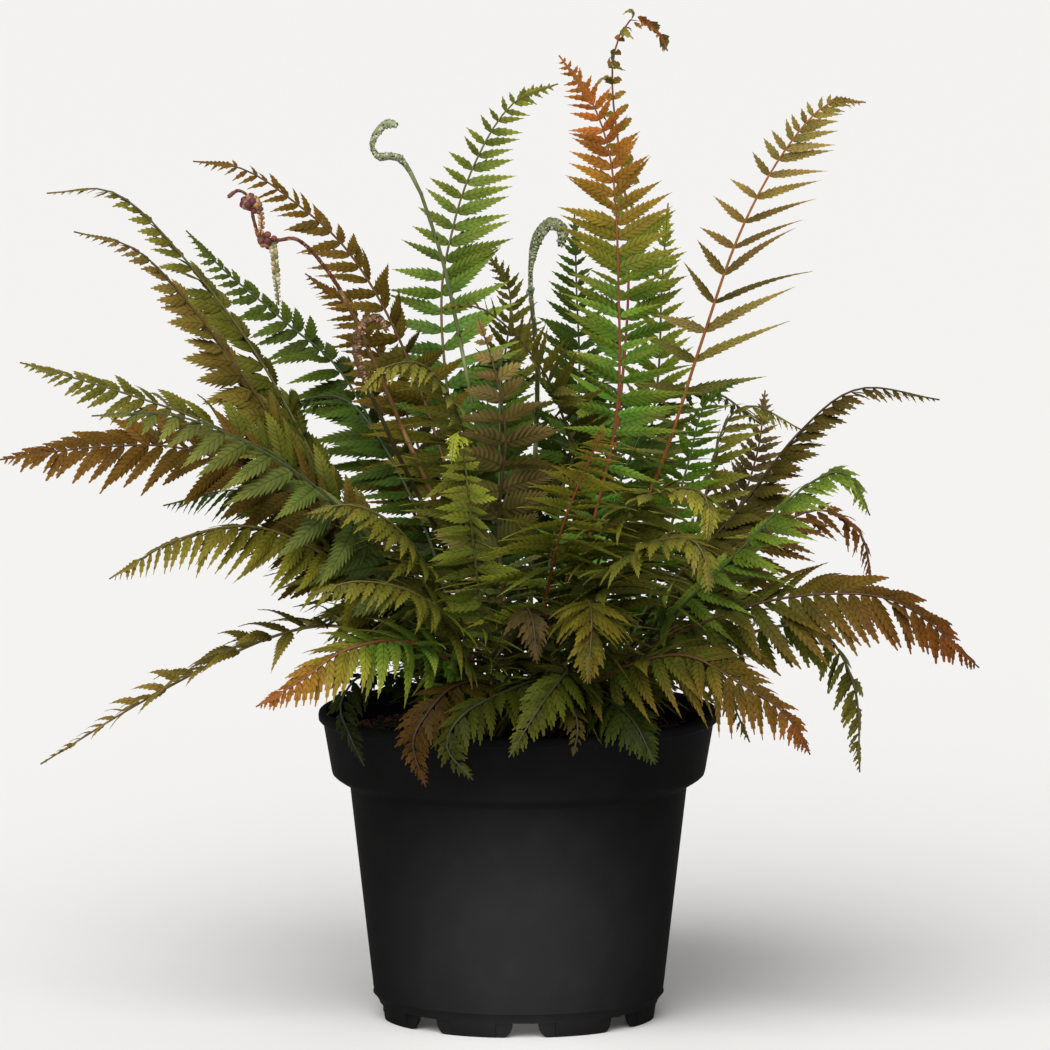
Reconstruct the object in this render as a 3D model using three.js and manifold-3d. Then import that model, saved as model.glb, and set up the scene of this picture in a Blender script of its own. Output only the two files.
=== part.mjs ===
// Autumn fern in a round black nursery pot.
// Millimetres, +Z up. The origin is the centre of the pot's foot, on the ground; the front is towards -Y.
import * as THREE from 'three';
import { mergeVertices } from 'three/addons/utils/BufferGeometryUtils.js';
import Module from 'manifold-3d';

const wasm = await Module();
wasm.setup();

// Pot
const potHeight = 147.6;
const lipRadius = 95.3;
const lipInner = 91.6;
const collarTopRadius = 93;
const collarLowRadius = 89;
const collarLowHeight = 118.6;
const shoulderHeight = 111.5;
const shoulderRadius = 80.3;
const bodyLowRadius = 69.2;
const footStepHeight = 12.8;
const footRadius = 66.4;
const footLowRadius = 65.4;
const footInner = 63.4;
const potWall = 1.7;
const floorWall = 1.8;
const padRadius = 11;
const padSlope = 2;
const drainFloor = 8;
const drainRadius = 57.5;
const drainWidth = 9;
const drainDepth = 5;
const potSides = 32;
const notchCount = 8;
const notchWidth = 28.8;
const notchHeight = 7.1;
const notchSkin = 1.5;
const archTop = 12;
const archFoot = 22;
const notchOffset = 3;

// Soil and the scaly crown that the stems rise from
const seat = 0.3;
const soilLevel = 135;
const soilSides = 24;
const crownRadius = 44;
const crownTop = 139.5;
const crownEdge = 135;
const crownFlat = 39.5;
const crownFoot = 124.3;
const crownSides = 18;
const footSpread = 38;
const footPlaces = 62;
const goldenAngle = Math.PI * (3 - Math.sqrt(5));

// Stems and leaflets
const stemDepth = 6;
const stemHalf = 1.35;
const rachisHalf = 1;
const tipHalf = 0.45;
const holeMargin = 0.45;
const leafGap = 0.35;
const courseSteps = 120;
const pinnaSweep = 22;
const tipSweep = 46;
const pinnaSag = 0.16;
const pinnaCurl = 0.1;
const pinnaFill = 0.46;
const furledLength = 0.5;
const bladeTaper = 1.7;
const lowestPair = 0.8;
const widestPair = 0.2;
const pairCrowding = 1.35;

// Bends that a frond may take to pass clear of those already standing, the smallest first
const turnSteps = [0, 1.2, -1.2, 2.5, -2.5, 4, -4, 6, -6, 9, -9, 13, -13, 18, -18, 24, -24];
const tiltSteps = [0, 1, -1, 2, -2, 3.5, -3.5, 6, -6, 9, -9, 13, 18];
const turnWeight = 0.5;
const swingSteps = [0, 12, -12, 24, -24, 38, -38, 54, -54];
const lengthSteps = [1, 0.82, 0.64, 0.46, 0.3];
const enoughClear = 0.86;
const bendTries = 22;

const colours = {
  pot: 0x1b1b1c,
  soil: 0x2b1a12,
  crown: 0x4a2f1e,
  dark: 0x26401c,
  green: 0x3f6322,
  olive: 0x5f6a26,
  bronze: 0x7a5427,
  copper: 0x8c4f22,
  curl: 0x8a7a52,
};

// Each frond: the points that its midrib passes above the crown, how many pairs of leaflets,
// the half width of the blade, its roll about the midrib, how far both sides fold down,
// the bare share of the stem, and where it spreads when that isn't across its own arch. A fill is how much
// of its room a leaflet takes, and past a furled share of the blade the leaflets are still curled small.
const fronds = [
  { name: 'frond_top_front', tone: 'copper', pairs: 18, width: 43, roll: 0, fold: 6, stem: 0.24, spread: 0,
    taper: 2.8,
    way: [[29, -10, 211], [46, -25, 289], [47, -35, 356], [44, -40, 409], [35, -42, 440],
      [19, -42, 463]] },
  { name: 'frond_top_right', tone: 'bronze', pairs: 15, width: 34, roll: 0, fold: -8, stem: 0.47, spread: 8,
    fill: 0.25, way: [[39, 30, 196], [67, 30, 258], [86, 30, 316], [104, 28, 369], [124, 26, 408],
      [146, 24, 434], [165, 24, 435]] },
  { name: 'frond_top_left', tone: 'olive', pairs: 15, width: 38, roll: 0, fold: 5, stem: 0.3, spread: 0,
    fill: 0.38, way: [[-23, 60, 211], [-37, 85, 320], [-31, 90, 371], [-17, 92, 408], [-1, 92, 430],
      [19, 92, 438]] },
  { name: 'frond_left_tall', tone: 'olive', pairs: 16, width: 38, roll: 12, fold: 10, stem: 0.24,
    way: [[-83, 25, 235], [-122, 45, 307], [-160, 58, 357], [-193, 62, 388], [-226, 62, 388]] },
  { name: 'frond_left_low', tone: 'olive', pairs: 12, width: 31, roll: 2, fold: -34, stem: 0.3,
    way: [[-47, -30, 174], [-81, -45, 193], [-118, -55, 189], [-173, -60, 162], [-225, -60, 130]] },
  { name: 'frond_left_front', tone: 'copper', pairs: 17, width: 38, roll: 38, fold: -12, stem: 0.28,
    taper: 3.6,
    way: [[-63, -25, 208], [-108, -45, 257], [-154, -60, 279], [-196, -65, 281], [-243, -65, 275]] },
  { name: 'frond_right_big', tone: 'copper', pairs: 17, width: 39, roll: -34, fold: 8, stem: 0.24, taper: 2.8,
    way: [[48, -40, 174], [99, -60, 202], [141, -70, 212], [180, -75, 208], [216, -75, 178]] },
  { name: 'frond_right_arch', tone: 'bronze', pairs: 15, width: 31, roll: -12, fold: 24, stem: 0.28,
    way: [[63, 0, 195], [103, -10, 243], [133, -15, 282], [161, -18, 303], [199, -20, 298]] },
  { name: 'frond_top_back', tone: 'copper', pairs: 16, width: 38, roll: 0, fold: 0, stem: 0.26, spread: -12,
    furled: 0.5, way: [[39, 40, 214], [51, 50, 314], [52, 50, 376], [45, 48, 436], [47, 46, 462],
      [56, 44, 474], [67, 43, 466], [71, 42, 458]] },
  { name: 'frond_left_bronze', tone: 'bronze', pairs: 15, width: 34, roll: 26, fold: 14, stem: 0.28,
    way: [[-83, 0, 230], [-121, -8, 294], [-152, -10, 338], [-180, -12, 368], [-210, -12, 377]] },
  { name: 'frond_left_pale', tone: 'olive', pairs: 15, width: 36, roll: 44, fold: 0, stem: 0.3,
    way: [[-66, -6, 214], [-103, -35, 267], [-141, -45, 291], [-183, -48, 307], [-229, -48, 321]] },
  { name: 'frond_left_broad', tone: 'green', pairs: 16, width: 44, roll: 32, fold: 24, stem: 0.28,
    way: [[-50, -50, 205], [-84, -85, 255], [-120, -100, 284], [-160, -108, 301], [-198, -110, 301]] },
  { name: 'frond_front_rise', tone: 'copper', pairs: 15, width: 50, roll: 0, fold: 14, stem: 0.26, spread: 0,
    way: [[13, -45, 206], [20, -85, 244], [29, -115, 272], [36, -140, 291], [39, -155, 302]] },
  { name: 'frond_upper_left', tone: 'bronze', pairs: 16, width: 38, roll: 34, fold: 4, stem: 0.3, fill: 0.34,
    way: [[-28, 30, 234], [-52, 50, 307], [-80, 60, 358], [-112, 65, 387], [-134, 66, 400],
      [-156, 66, 403]] },
  { name: 'frond_left_arch', tone: 'olive', pairs: 15, width: 37, roll: 26, fold: 22, stem: 0.26,
    way: [[-54, -40, 201], [-88, -75, 230], [-123, -85, 246], [-158, -90, 241], [-191, -90, 222]] },
  { name: 'frond_right_low', tone: 'copper', pairs: 14, width: 38, roll: -28, fold: 8, stem: 0.2,
    way: [[38, -70, 172], [75, -95, 187], [103, -105, 175], [124, -108, 161], [136, -110, 142]] },
  { name: 'frond_front_left', tone: 'copper', pairs: 14, width: 34, roll: 24, fold: 8, stem: 0.2,
    way: [[-32, -60, 178], [-55, -90, 193], [-81, -110, 191], [-101, -118, 178], [-122, -120, 166]] },
  { name: 'frond_centre_nod', tone: 'copper', pairs: 12, width: 32, roll: 0, fold: 14, stem: 0.36,
    way: [[20, -60, 189], [31, -100, 213], [34, -130, 208], [32, -142, 180]] },
  { name: 'frond_right_nod', tone: 'olive', pairs: 13, width: 36, roll: 0, fold: 8, stem: 0.34,
    way: [[38, -50, 226], [57, -100, 260], [80, -125, 269], [88, -134, 262], [87, -138, 245]] },
  { name: 'frond_right_nod_low', tone: 'olive', pairs: 13, width: 36, roll: 0, fold: 8, stem: 0.34,
    way: [[38, -70, 209], [56, -115, 239], [77, -140, 248], [86, -148, 240], [88, -152, 223]] },
  { name: 'frond_right_hang', tone: 'olive', pairs: 12, width: 19, roll: -30, fold: 14, stem: 0.46,
    way: [[48, -10, 163], [102, -15, 184], [140, -18, 189], [159, -20, 162], [162, -20, 120]] },
  { name: 'frond_right_thin', tone: 'copper', pairs: 13, width: 26, roll: -34, fold: 10, stem: 0.34, fill: 0.4,
    way: [[63, 20, 172], [106, 30, 215], [139, 35, 238], [163, 36, 228], [170, 36, 198]] },
  { name: 'frond_upper_arch', tone: 'olive', pairs: 14, width: 30, roll: 10, fold: 34, stem: 0.34, spread: 70,
    way: [[27, 10, 246], [20, -20, 293], [5, -45, 324], [-18, -60, 346], [-40, -68, 345]] },
  { name: 'frond_left_far', tone: 'green', pairs: 15, width: 40, roll: 30, fold: 10, stem: 0.3,
    way: [[-45, 60, 221], [-82, 98, 292], [-113, 108, 321], [-142, 113, 345], [-161, 113, 365]] },
  { name: 'frond_centre_tall', tone: 'bronze', pairs: 11, width: 36, roll: 0, fold: 0, stem: 0.36, spread: 12,
    way: [[-9, -35, 236], [-6, -66, 285], [-11, -88, 320], [-19, -100, 346]] },
  { name: 'frond_centre_left', tone: 'olive', pairs: 13, width: 36, roll: 8, fold: 20, stem: 0.34,
    way: [[-18, -20, 231], [-25, -55, 288], [-41, -80, 320], [-60, -95, 322], [-72, -98, 309]] },
  { name: 'frond_front_curl', tone: 'olive', pairs: 12, width: 24, roll: 0, fold: 26, stem: 0.32,
    way: [[-18, -60, 208], [-23, -95, 260], [-26, -110, 290], [-29, -120, 293], [-31, -126, 280]] },
  { name: 'frond_front_drop', tone: 'copper', pairs: 10, width: 23, roll: 16, fold: 14, stem: 0.28,
    way: [[-13, -60, 167], [-30, -95, 172], [-43, -112, 161], [-49, -118, 148], [-43, -118, 128]] },
  { name: 'frond_front_hook', tone: 'olive', pairs: 11, width: 26, roll: 0, fold: 14, stem: 0.28,
    way: [[20, -65, 166], [10, -104, 166], [-8, -128, 156], [-15, -134, 141], [-2, -136, 126]] },
  { name: 'frond_front_pale', tone: 'olive', pairs: 10, width: 24, roll: 14, fold: 10, stem: 0.28,
    way: [[5, -58, 172], [-2, -92, 180], [-22, -114, 168], [-40, -122, 146]] },
  { name: 'frond_front_tuft', tone: 'green', pairs: 9, width: 24, roll: -14, fold: 12, stem: 0.28,
    way: [[25, -64, 168], [34, -98, 166], [42, -116, 148]] },
  { name: 'frond_left_mid', tone: 'olive', pairs: 13, width: 32, roll: 20, fold: 18, stem: 0.3,
    way: [[-37, -50, 207], [-58, -85, 244], [-81, -97, 258], [-104, -100, 254]] },
  { name: 'frond_left_inner', tone: 'green', pairs: 13, width: 34, roll: 14, fold: 16, stem: 0.3,
    way: [[-32, -65, 194], [-50, -98, 216], [-76, -112, 224], [-100, -114, 218]] },
  { name: 'frond_left_back', tone: 'dark', pairs: 13, width: 38, roll: 16, fold: 20, stem: 0.28,
    way: [[-57, 60, 192], [-96, 80, 228], [-135, 90, 241], [-172, 95, 233]] },
  { name: 'frond_right_green', tone: 'green', pairs: 15, width: 36, roll: -26, fold: 12, stem: 0.28,
    way: [[62, -30, 185], [100, -50, 226], [132, -55, 259], [153, -58, 268], [165, -60, 248]] },
  { name: 'frond_right_back', tone: 'dark', pairs: 13, width: 32, roll: -14, fold: 24, stem: 0.3,
    way: [[63, 40, 172], [87, 50, 235], [98, 55, 275], [112, 58, 286], [136, 60, 274]] },
  { name: 'frond_right_upright', tone: 'bronze', pairs: 13, width: 34, roll: -40, fold: 4, stem: 0.3,
    way: [[68, 60, 182], [102, 80, 226], [115, 85, 259], [119, 88, 290]] },
  { name: 'frond_right_inner', tone: 'green', pairs: 12, width: 27, roll: 0, fold: 8, stem: 0.3, spread: 20,
    way: [[58, 20, 187], [80, 8, 262], [88, 2, 292], [104, -4, 306]] },
  { name: 'frond_back_right', tone: 'green', pairs: 14, width: 30, roll: 0, fold: 6, stem: 0.28, spread: 4,
    way: [[50, 66, 211], [66, 80, 287], [69, 84, 340], [72, 86, 381]] },
  { name: 'frond_back_centre', tone: 'dark', pairs: 14, width: 30, roll: 0, fold: 6, stem: 0.28, spread: 0,
    way: [[20, 80, 208], [29, 98, 284], [28, 104, 338], [27, 106, 374]] },
  { name: 'frond_back_left', tone: 'dark', pairs: 13, width: 32, roll: 0, fold: 8, stem: 0.28, spread: 0,
    way: [[-12, 84, 208], [-9, 110, 284], [-4, 118, 332], [-16, 122, 354]] },
  { name: 'frond_back_bronze', tone: 'bronze', pairs: 14, width: 36, roll: 24, fold: 6, stem: 0.3,
    way: [[-31, 50, 212], [-50, 78, 280], [-74, 92, 328], [-98, 98, 349]] },
  { name: 'frond_brim_right', tone: 'olive', pairs: 9, width: 19, roll: -12, fold: 12, stem: 0.3,
    way: [[40, -52, 168], [62, -70, 184], [76, -82, 169], [88, -88, 141]] },
  { name: 'frond_brim_left', tone: 'green', pairs: 8, width: 17, roll: 14, fold: 12, stem: 0.32,
    way: [[-46, -46, 166], [-68, -62, 175], [-80, -72, 162], [-75, -76, 146], [-69, -77, 133]] },
  { name: 'frond_centre_small', tone: 'copper', pairs: 8, width: 20, roll: 0, fold: 18, stem: 0.4,
    way: [[3, -48, 186], [5, -80, 204], [9, -104, 200], [11, -110, 181]] },
  { name: 'frond_brim_small', tone: 'olive', pairs: 7, width: 16, roll: 0, fold: 14, stem: 0.32,
    way: [[29, -56, 163], [43, -88, 178], [49, -99, 171], [48, -103, 158]] },
];

// Fronds on the far side, which the front ones hide: a fan of arches, high and low in turn
const farFronds = 7;
const farStart = 28;
const farStep = 21;
const farReach = [104, 132];
const farHeight = [286, 222];

// Young fronds still rolled up: the stalk's way points, then the roll at its end, and any curl that
// hangs from it. The radius runs from the foot to the end.
const croziers = [
  { name: 'crozier_pale', rollFrom: 0.86, radius: [1.5, 2.2],
    way: [[-9, 46, 212], [-32, 58, 337], [-44, 60, 380], [-50, 60, 395], [-56, 60, 404], [-61, 60, 406],
      [-67, 59, 406], [-70, 59, 411], [-68, 58, 417], [-63, 58, 422], [-58, 58, 421]], curls: [] },
  { name: 'crozier_red', rollFrom: 0.72, radius: [1.5, 2.3],
    way: [[-30, 22, 216], [-57, 30, 282], [-80, 32, 335], [-94, 30, 358], [-105, 28, 369], [-114, 27, 369],
      [-122, 26, 368], [-126, 25, 379], [-128, 25, 389], [-133, 24, 393], [-138, 24, 390]],
    curls: [[[-117, 27, 369], [-116, 21, 361], [-115, 18, 350], [-114, 16, 339]],
      [[-128, 25, 391], [-124, 22, 387], [-122, 20, 378], [-123, 20, 371]]] },
  { name: 'crozier_scaly', rollFrom: 0.8, radius: [1.6, 2.7],
    way: [[6, 18, 216], [9, 0, 305], [6, -8, 345], [6, -10, 361], [9, -12, 374], [15, -14, 381],
      [21, -15, 378], [20, -15, 371]], curls: [] },
  { name: 'crozier_brown', rollFrom: 0.8, radius: [1.6, 2.6],
    way: [[-25, -14, 203], [-56, -26, 271], [-74, -30, 313], [-76, -30, 326], [-73, -30, 335],
      [-66, -30, 338], [-62, -30, 332]], curls: [] },
];
const crozierSides = 5;
const stalkRings = 6;
const rollRings = 12;
const curlShares = [0, 0.2, 0.4, 0.6, 0.8, 0.94];
const curlRadii = [1.2, 1.8, 1.9, 1.7, 1.4, 0.9];

// A closed skin of points and triangles
class Skin {
  constructor() {
    this.points = [];
    this.faces = [];
  }

  point(place) {
    this.points.push(place.x, place.y, place.z);
    return this.points.length / 3 - 1;
  }

  face(a, b, c, flip = false) {
    this.faces.push(a, flip ? c : b, flip ? b : c);
  }

  quad(a, b, c, d, flip = false) {
    this.face(a, b, c, flip);
    this.face(a, c, d, flip);
  }

  geometry() {
    const geometry = new THREE.BufferGeometry();
    geometry.setAttribute('position', new THREE.Float32BufferAttribute(this.points, 3));
    geometry.setIndex(this.faces);
    geometry.computeVertexNormals();
    return geometry;
  }
}

function toSolid(source) {
  const geometry = source.clone();
  geometry.deleteAttribute('normal');
  geometry.deleteAttribute('uv');
  const merged = mergeVertices(geometry, 1e-4);
  const triangles = [];
  for (let i = 0; i < merged.index.count; i += 3) {
    const corners = [merged.index.getX(i), merged.index.getX(i + 1), merged.index.getX(i + 2)];
    if (new Set(corners).size === 3) triangles.push(...corners);
  }
  return new wasm.Manifold(new wasm.Mesh({
    numProp: 3,
    vertProperties: new Float32Array(merged.attributes.position.array),
    triVerts: new Uint32Array(triangles),
  }));
}

function toGeometry(solid) {
  const mesh = solid.getMesh();
  const geometry = new THREE.BufferGeometry();
  geometry.setAttribute('position', new THREE.BufferAttribute(new Float32Array(mesh.vertProperties), 3));
  geometry.setIndex(new THREE.BufferAttribute(new Uint32Array(mesh.triVerts), 1));
  geometry.computeVertexNormals();
  return geometry;
}

// A lathe turned about +Z, from [radius, height] pairs listed from the bottom of the axis, outside first
function turned(profile, sides) {
  const outline = profile.map(([radius, height]) => new THREE.Vector2(radius, height));
  const geometry = new THREE.LatheGeometry(outline, sides);
  geometry.rotateX(Math.PI / 2);
  return geometry;
}

// The narrower opening behind a notch, with sides that flare towards the ground
function makeArch() {
  const shape = new THREE.Shape();
  shape.moveTo(-archFoot / 2 - 0.6, -1);
  shape.lineTo(archFoot / 2 + 0.6, -1);
  shape.lineTo(archFoot / 2 - 2.2, notchHeight * 0.25);
  shape.lineTo(archTop / 2 + 0.8, notchHeight * 0.62);
  shape.lineTo(archTop / 2, notchHeight);
  shape.lineTo(-archTop / 2, notchHeight);
  shape.lineTo(-archTop / 2 - 0.8, notchHeight * 0.62);
  shape.lineTo(-archFoot / 2 + 2.2, notchHeight * 0.25);
  shape.closePath();
  const arch = new THREE.ExtrudeGeometry(shape, { depth: 10, bevelEnabled: false });
  arch.rotateX(Math.PI / 2);
  arch.translate(0, -footInner + 4, 0);
  return arch;
}

// The shelf inside the pot, behind the step from its body to its collar
const insideShelf = [
  [shoulderRadius - potWall, shoulderHeight + 2],
  [collarLowRadius - 5.4, shoulderHeight + 4.2],
  [collarLowRadius - potWall, collarLowHeight],
];

// Pot: rolled lip, sloping collar, tapered body, and a stepped foot ring with eight drain notches.
// Its raised floor has a drain hole at each notch, and a small pad in its middle that stands on the ground.
function makePot() {
  const profile = [
    [0, 0],
    [padRadius, 0],
    [padRadius + padSlope, drainFloor],
    [footInner - 1, drainFloor],
    [footInner, 0],
    [footLowRadius, 0],
    [footRadius, footStepHeight - 5.5],
    [bodyLowRadius, footStepHeight],
    [shoulderRadius, shoulderHeight],
    [shoulderRadius + 1.2, shoulderHeight + 1],
    [collarLowRadius - 4.6, shoulderHeight + 2.4],
    [collarLowRadius - 1.4, shoulderHeight + 4.4],
    [collarLowRadius, collarLowHeight],
    [collarTopRadius, potHeight - 6],
    [lipRadius - 0.6, potHeight - 5],
    [lipRadius, potHeight - 2.4],
    [lipRadius - 1.4, potHeight],
    [lipInner, potHeight - 0.4],
    ...insideShelf.toReversed(),
    [bodyLowRadius - potWall - 0.2, drainFloor + floorWall + 4],
    [bodyLowRadius - potWall - 3, drainFloor + floorWall],
    [padRadius + padSlope - floorWall, drainFloor + floorWall],
    [padRadius - floorWall, floorWall],
    [0, floorWall],
  ];
  let pot = toSolid(turned(profile, potSides));
  const skirt = footInner + notchSkin;
  const skirtRing = toSolid(turned([
    [skirt, -1], [skirt + 9, -1], [skirt + 9, notchHeight], [skirt, notchHeight], [skirt, -1],
  ], potSides));
  for (let i = 0; i < notchCount; i++) {
    const angle = (i * 2 * Math.PI) / notchCount + THREE.MathUtils.degToRad(notchOffset);
    const wide = new THREE.BoxGeometry(notchWidth, 24, notchHeight * 4);
    wide.translate(0, -footRadius, 0);
    const drain = new THREE.BoxGeometry(drainWidth, drainDepth, floorWall * 3);
    drain.translate(0, -drainRadius, drainFloor + floorWall / 2);
    const [wideCut, archCut, drainCut] = [wide, makeArch(), drain].map((cut) => toSolid(cut.rotateZ(angle)));
    pot = pot.subtract(skirtRing.intersect(wideCut)).subtract(archCut).subtract(drainCut);
  }
  return toGeometry(pot);
}

function potInside(height) {
  const low = bodyLowRadius - potWall - 0.2;
  if (height < shoulderHeight + 2) {
    const share = Math.max(0, height / (shoulderHeight + 2));
    return low + share * (shoulderRadius - potWall - low);
  }
  if (height < collarLowHeight) return shoulderRadius - potWall;
  const share = (height - collarLowHeight) / (potHeight - collarLowHeight);
  return collarLowRadius - potWall + share * (lipInner - collarLowRadius + potWall);
}

function potOutside(height) {
  if (height > potHeight - 6) return lipRadius;
  if (height > shoulderHeight) return collarTopRadius;
  return shoulderRadius + 1;
}

// Soil: fills the pot, with an uneven top and a round seat for the crown
function makeSoil() {
  const low = bodyLowRadius - potWall - 0.2 - 2 * seat;
  const profile = [
    [0, floorWall + seat],
    [padRadius - floorWall - seat, floorWall + seat],
    [padRadius + padSlope - floorWall - seat, drainFloor + floorWall + seat],
    [low - 4, drainFloor + floorWall + seat],
    [low, drainFloor + floorWall + 4.6],
    ...insideShelf.map(([radius, height]) => [radius - 3 * seat, height + 2 * seat]),
    [potInside(soilLevel) - 4 * seat, soilLevel - 3.5],
    [80, soilLevel - 0.5],
    [64, soilLevel + 1],
    [crownRadius + 3, soilLevel - 1],
    [crownRadius + 1, soilLevel - 3],
    [crownRadius + 1, crownFoot - seat],
    [0, crownFoot - seat],
  ];
  const geometry = turned(profile, soilSides);
  const places = geometry.attributes.position;
  for (let i = 0; i < places.count; i++) {
    const radius = Math.hypot(places.getX(i), places.getY(i));
    if (places.getZ(i) < soilLevel - 3.2 || radius < crownRadius + 2) continue;
    const heave = Math.sin(places.getX(i) * 0.31) * Math.cos(places.getY(i) * 0.27 + 1);
    places.setZ(i, places.getZ(i) + 1.5 * heave);
  }
  return geometry;
}

// Crown: a low scaly dome at the soil's surface
function crownHeight(radius) {
  const share = Math.max(0, (radius - crownFlat) / (crownRadius - crownFlat));
  return crownTop - (crownTop - crownEdge) * Math.min(1, share);
}

function makeCrown() {
  const profile = [[0, crownFoot], [crownRadius, crownFoot], [crownRadius, crownEdge], [crownFlat, crownTop],
    [0, crownTop]];
  return toSolid(turned(profile, crownSides));
}

// The places where stems may stand, a sunflower spiral over the crown
const freePlaces = [];
for (let i = 0; i < footPlaces; i++) {
  const radius = footSpread * Math.sqrt((i + 0.5) / footPlaces);
  freePlaces.push(new THREE.Vector2(radius * Math.cos(i * goldenAngle), radius * Math.sin(i * goldenAngle)));
}

// The free place nearest to where a stem would lean from, taken off the list
function takeFoot(way) {
  const lean = new THREE.Vector2(way[0][0], way[0][1]);
  const wished = lean.clone().multiplyScalar(Math.min(0.55, footSpread / Math.max(lean.length(), 1)));
  let best = 0;
  for (let i = 1; i < freePlaces.length; i++) {
    if (freePlaces[i].distanceTo(wished) < freePlaces[best].distanceTo(wished)) best = i;
  }
  const [place] = freePlaces.splice(best, 1);
  return new THREE.Vector3(place.x, place.y, crownHeight(place.length()));
}

// A midrib's course: a smooth curve from the foot through its way points, measured along its length
function makeCourse(foot, way) {
  const curve = new THREE.CatmullRomCurve3([foot, ...way], false, 'catmullrom', 0.5);
  const places = curve.getPoints(courseSteps);
  const lengths = [0];
  for (let i = 1; i < places.length; i++) {
    lengths.push(lengths[i - 1] + places[i].distanceTo(places[i - 1]));
  }
  return { places, lengths, total: lengths[lengths.length - 1] };
}

// The place and heading at a distance along a course; before its start it runs on straight
function along(course, distance) {
  let k = 1;
  while (k < course.lengths.length - 1 && course.lengths[k] < distance) k++;
  const from = course.places[k - 1];
  const heading = course.places[k].clone().sub(from).normalize();
  const place = from.clone().addScaledVector(heading, distance - course.lengths[k - 1]);
  const before = course.places[Math.max(0, k - 2)];
  const after = course.places[Math.min(course.places.length - 1, k + 1)];
  return { place, heading: after.clone().sub(before).normalize() };
}

// Heading, side and upper face of a blade at a distance along its course
function frameAlong(course, distance, sideways, roll) {
  const { place, heading } = along(course, distance);
  const side = sideways.clone().addScaledVector(heading, -sideways.dot(heading)).normalize();
  const face = heading.clone().cross(side);
  const turn = THREE.MathUtils.degToRad(roll);
  const rolledSide = side.clone().multiplyScalar(Math.cos(turn)).addScaledVector(face, -Math.sin(turn));
  const rolledFace = face.clone().multiplyScalar(Math.cos(turn)).addScaledVector(side, Math.sin(turn));
  return { place, heading, side: rolledSide, face: rolledFace };
}

// Way points turned about the vertical through the foot, then tilted in their own upright plane
function bendWay(way, foot, turn, tilt) {
  const last = way[way.length - 1];
  const outward = new THREE.Vector3(last[0] - foot.x, last[1] - foot.y, 0).normalize();
  const axis = new THREE.Vector3(outward.y, -outward.x, 0);
  const spin = new THREE.Vector3(0, 0, 1);
  return way.map((point) => new THREE.Vector3(...point)
    .sub(foot)
    .applyAxisAngle(axis, THREE.MathUtils.degToRad(tilt))
    .applyAxisAngle(spin, THREE.MathUtils.degToRad(turn))
    .add(foot));
}

// The share of the full half width that a leaflet reaches, from the lowest pair (0) to the tip (1)
function bladeShare(place, taper = bladeTaper) {
  return (1 - place ** taper) * (lowestPair + (1 - lowestPair) * Math.min(1, place / widestPair));
}

// Rings of four points along the midrib; the leaflets stand between the blade's rings
function layOut(frond, foot, turn, tilt) {
  const course = makeCourse(foot, bendWay(frond.way, foot, turn, tilt));
  const last = frond.way[frond.way.length - 1];
  const azimuth = Math.atan2(last[1] - foot.y, last[0] - foot.x) + THREE.MathUtils.degToRad(turn);
  const spread = frond.spread === undefined ? azimuth + Math.PI / 2 : THREE.MathUtils.degToRad(frond.spread);
  const sideways = new THREE.Vector3(Math.cos(spread), Math.sin(spread), 0);
  const bare = course.total * frond.stem;
  const blade = course.total - bare;
  const stops = [-stemDepth, 3, bare * 0.5];
  for (let i = 0; i <= frond.pairs; i++) {
    stops.push(bare + blade * (1 - (1 - i / (frond.pairs + 0.6)) ** pairCrowding));
  }
  const rings = stops.map((distance) => {
    const share = Math.max(0, (distance - bare) / blade);
    const half = share > 0 ? rachisHalf + (tipHalf - rachisHalf) * share
      : stemHalf + ((rachisHalf - stemHalf) * Math.max(0, distance)) / bare;
    return { ...frameAlong(course, distance, sideways, frond.roll), half, share };
  });
  return { rings, tip: course.places[course.places.length - 1], firstPair: 3 };
}

// One leaflet between two rings: the points of its cut edge, from the forward side to the back
function leafEdge(frond, low, high, side, swing, stretch) {
  const share = (low.share + high.share) / 2;
  const root = low.place.clone().add(high.place).multiplyScalar(0.5);
  const heading = low.heading.clone().add(high.heading).normalize();
  const face = low.face.clone().add(high.face).normalize();
  const lateral = heading.clone().cross(face).multiplyScalar(-side);
  const fold = THREE.MathUtils.degToRad(frond.fold + swing);
  const sweep = THREE.MathUtils.degToRad(pinnaSweep + (tipSweep - pinnaSweep) * share);
  const outward = lateral.clone().multiplyScalar(Math.cos(fold)).addScaledVector(face, -Math.sin(fold));
  const axis = outward.clone().multiplyScalar(Math.cos(sweep)).addScaledVector(heading, Math.sin(sweep));
  const furl = share > (frond.furled ?? 1) ? furledLength : 1;
  const length = frond.width * bladeShare(share, frond.taper) * furl * stretch;
  axis.addScaledVector(face, -pinnaSag).addScaledVector(heading, pinnaCurl);
  const across = heading.clone().addScaledVector(axis, -heading.dot(axis) / axis.lengthSq()).normalize();
  const room = high.place.clone().sub(low.place).dot(across);
  const half = Math.min((frond.fill ?? pinnaFill) * room, 0.24 * length);
  const at = (reach, offset) => root.clone()
    .addScaledVector(axis, length * reach)
    .addScaledVector(across, half * offset);
  const tip = at(1, 0);
  if (share > 0.72) return [tip];
  if (share > 0.3 || frond.width < 21 || frond.tone === 'dark') return [at(0.36, 1), tip, at(0.3, -1)];
  return [at(0.36, 1), at(0.56, 0.42), tip, at(0.52, -0.42), at(0.3, -1)];
}

function ringPoints(ring, margin = 0) {
  const reach = ring.half + margin;
  return [
    ring.place.clone().addScaledVector(ring.face, reach * 0.9),
    ring.place.clone().addScaledVector(ring.side, reach),
    ring.place.clone().addScaledVector(ring.face, -reach * 0.9),
    ring.place.clone().addScaledVector(ring.side, -reach),
  ];
}

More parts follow.
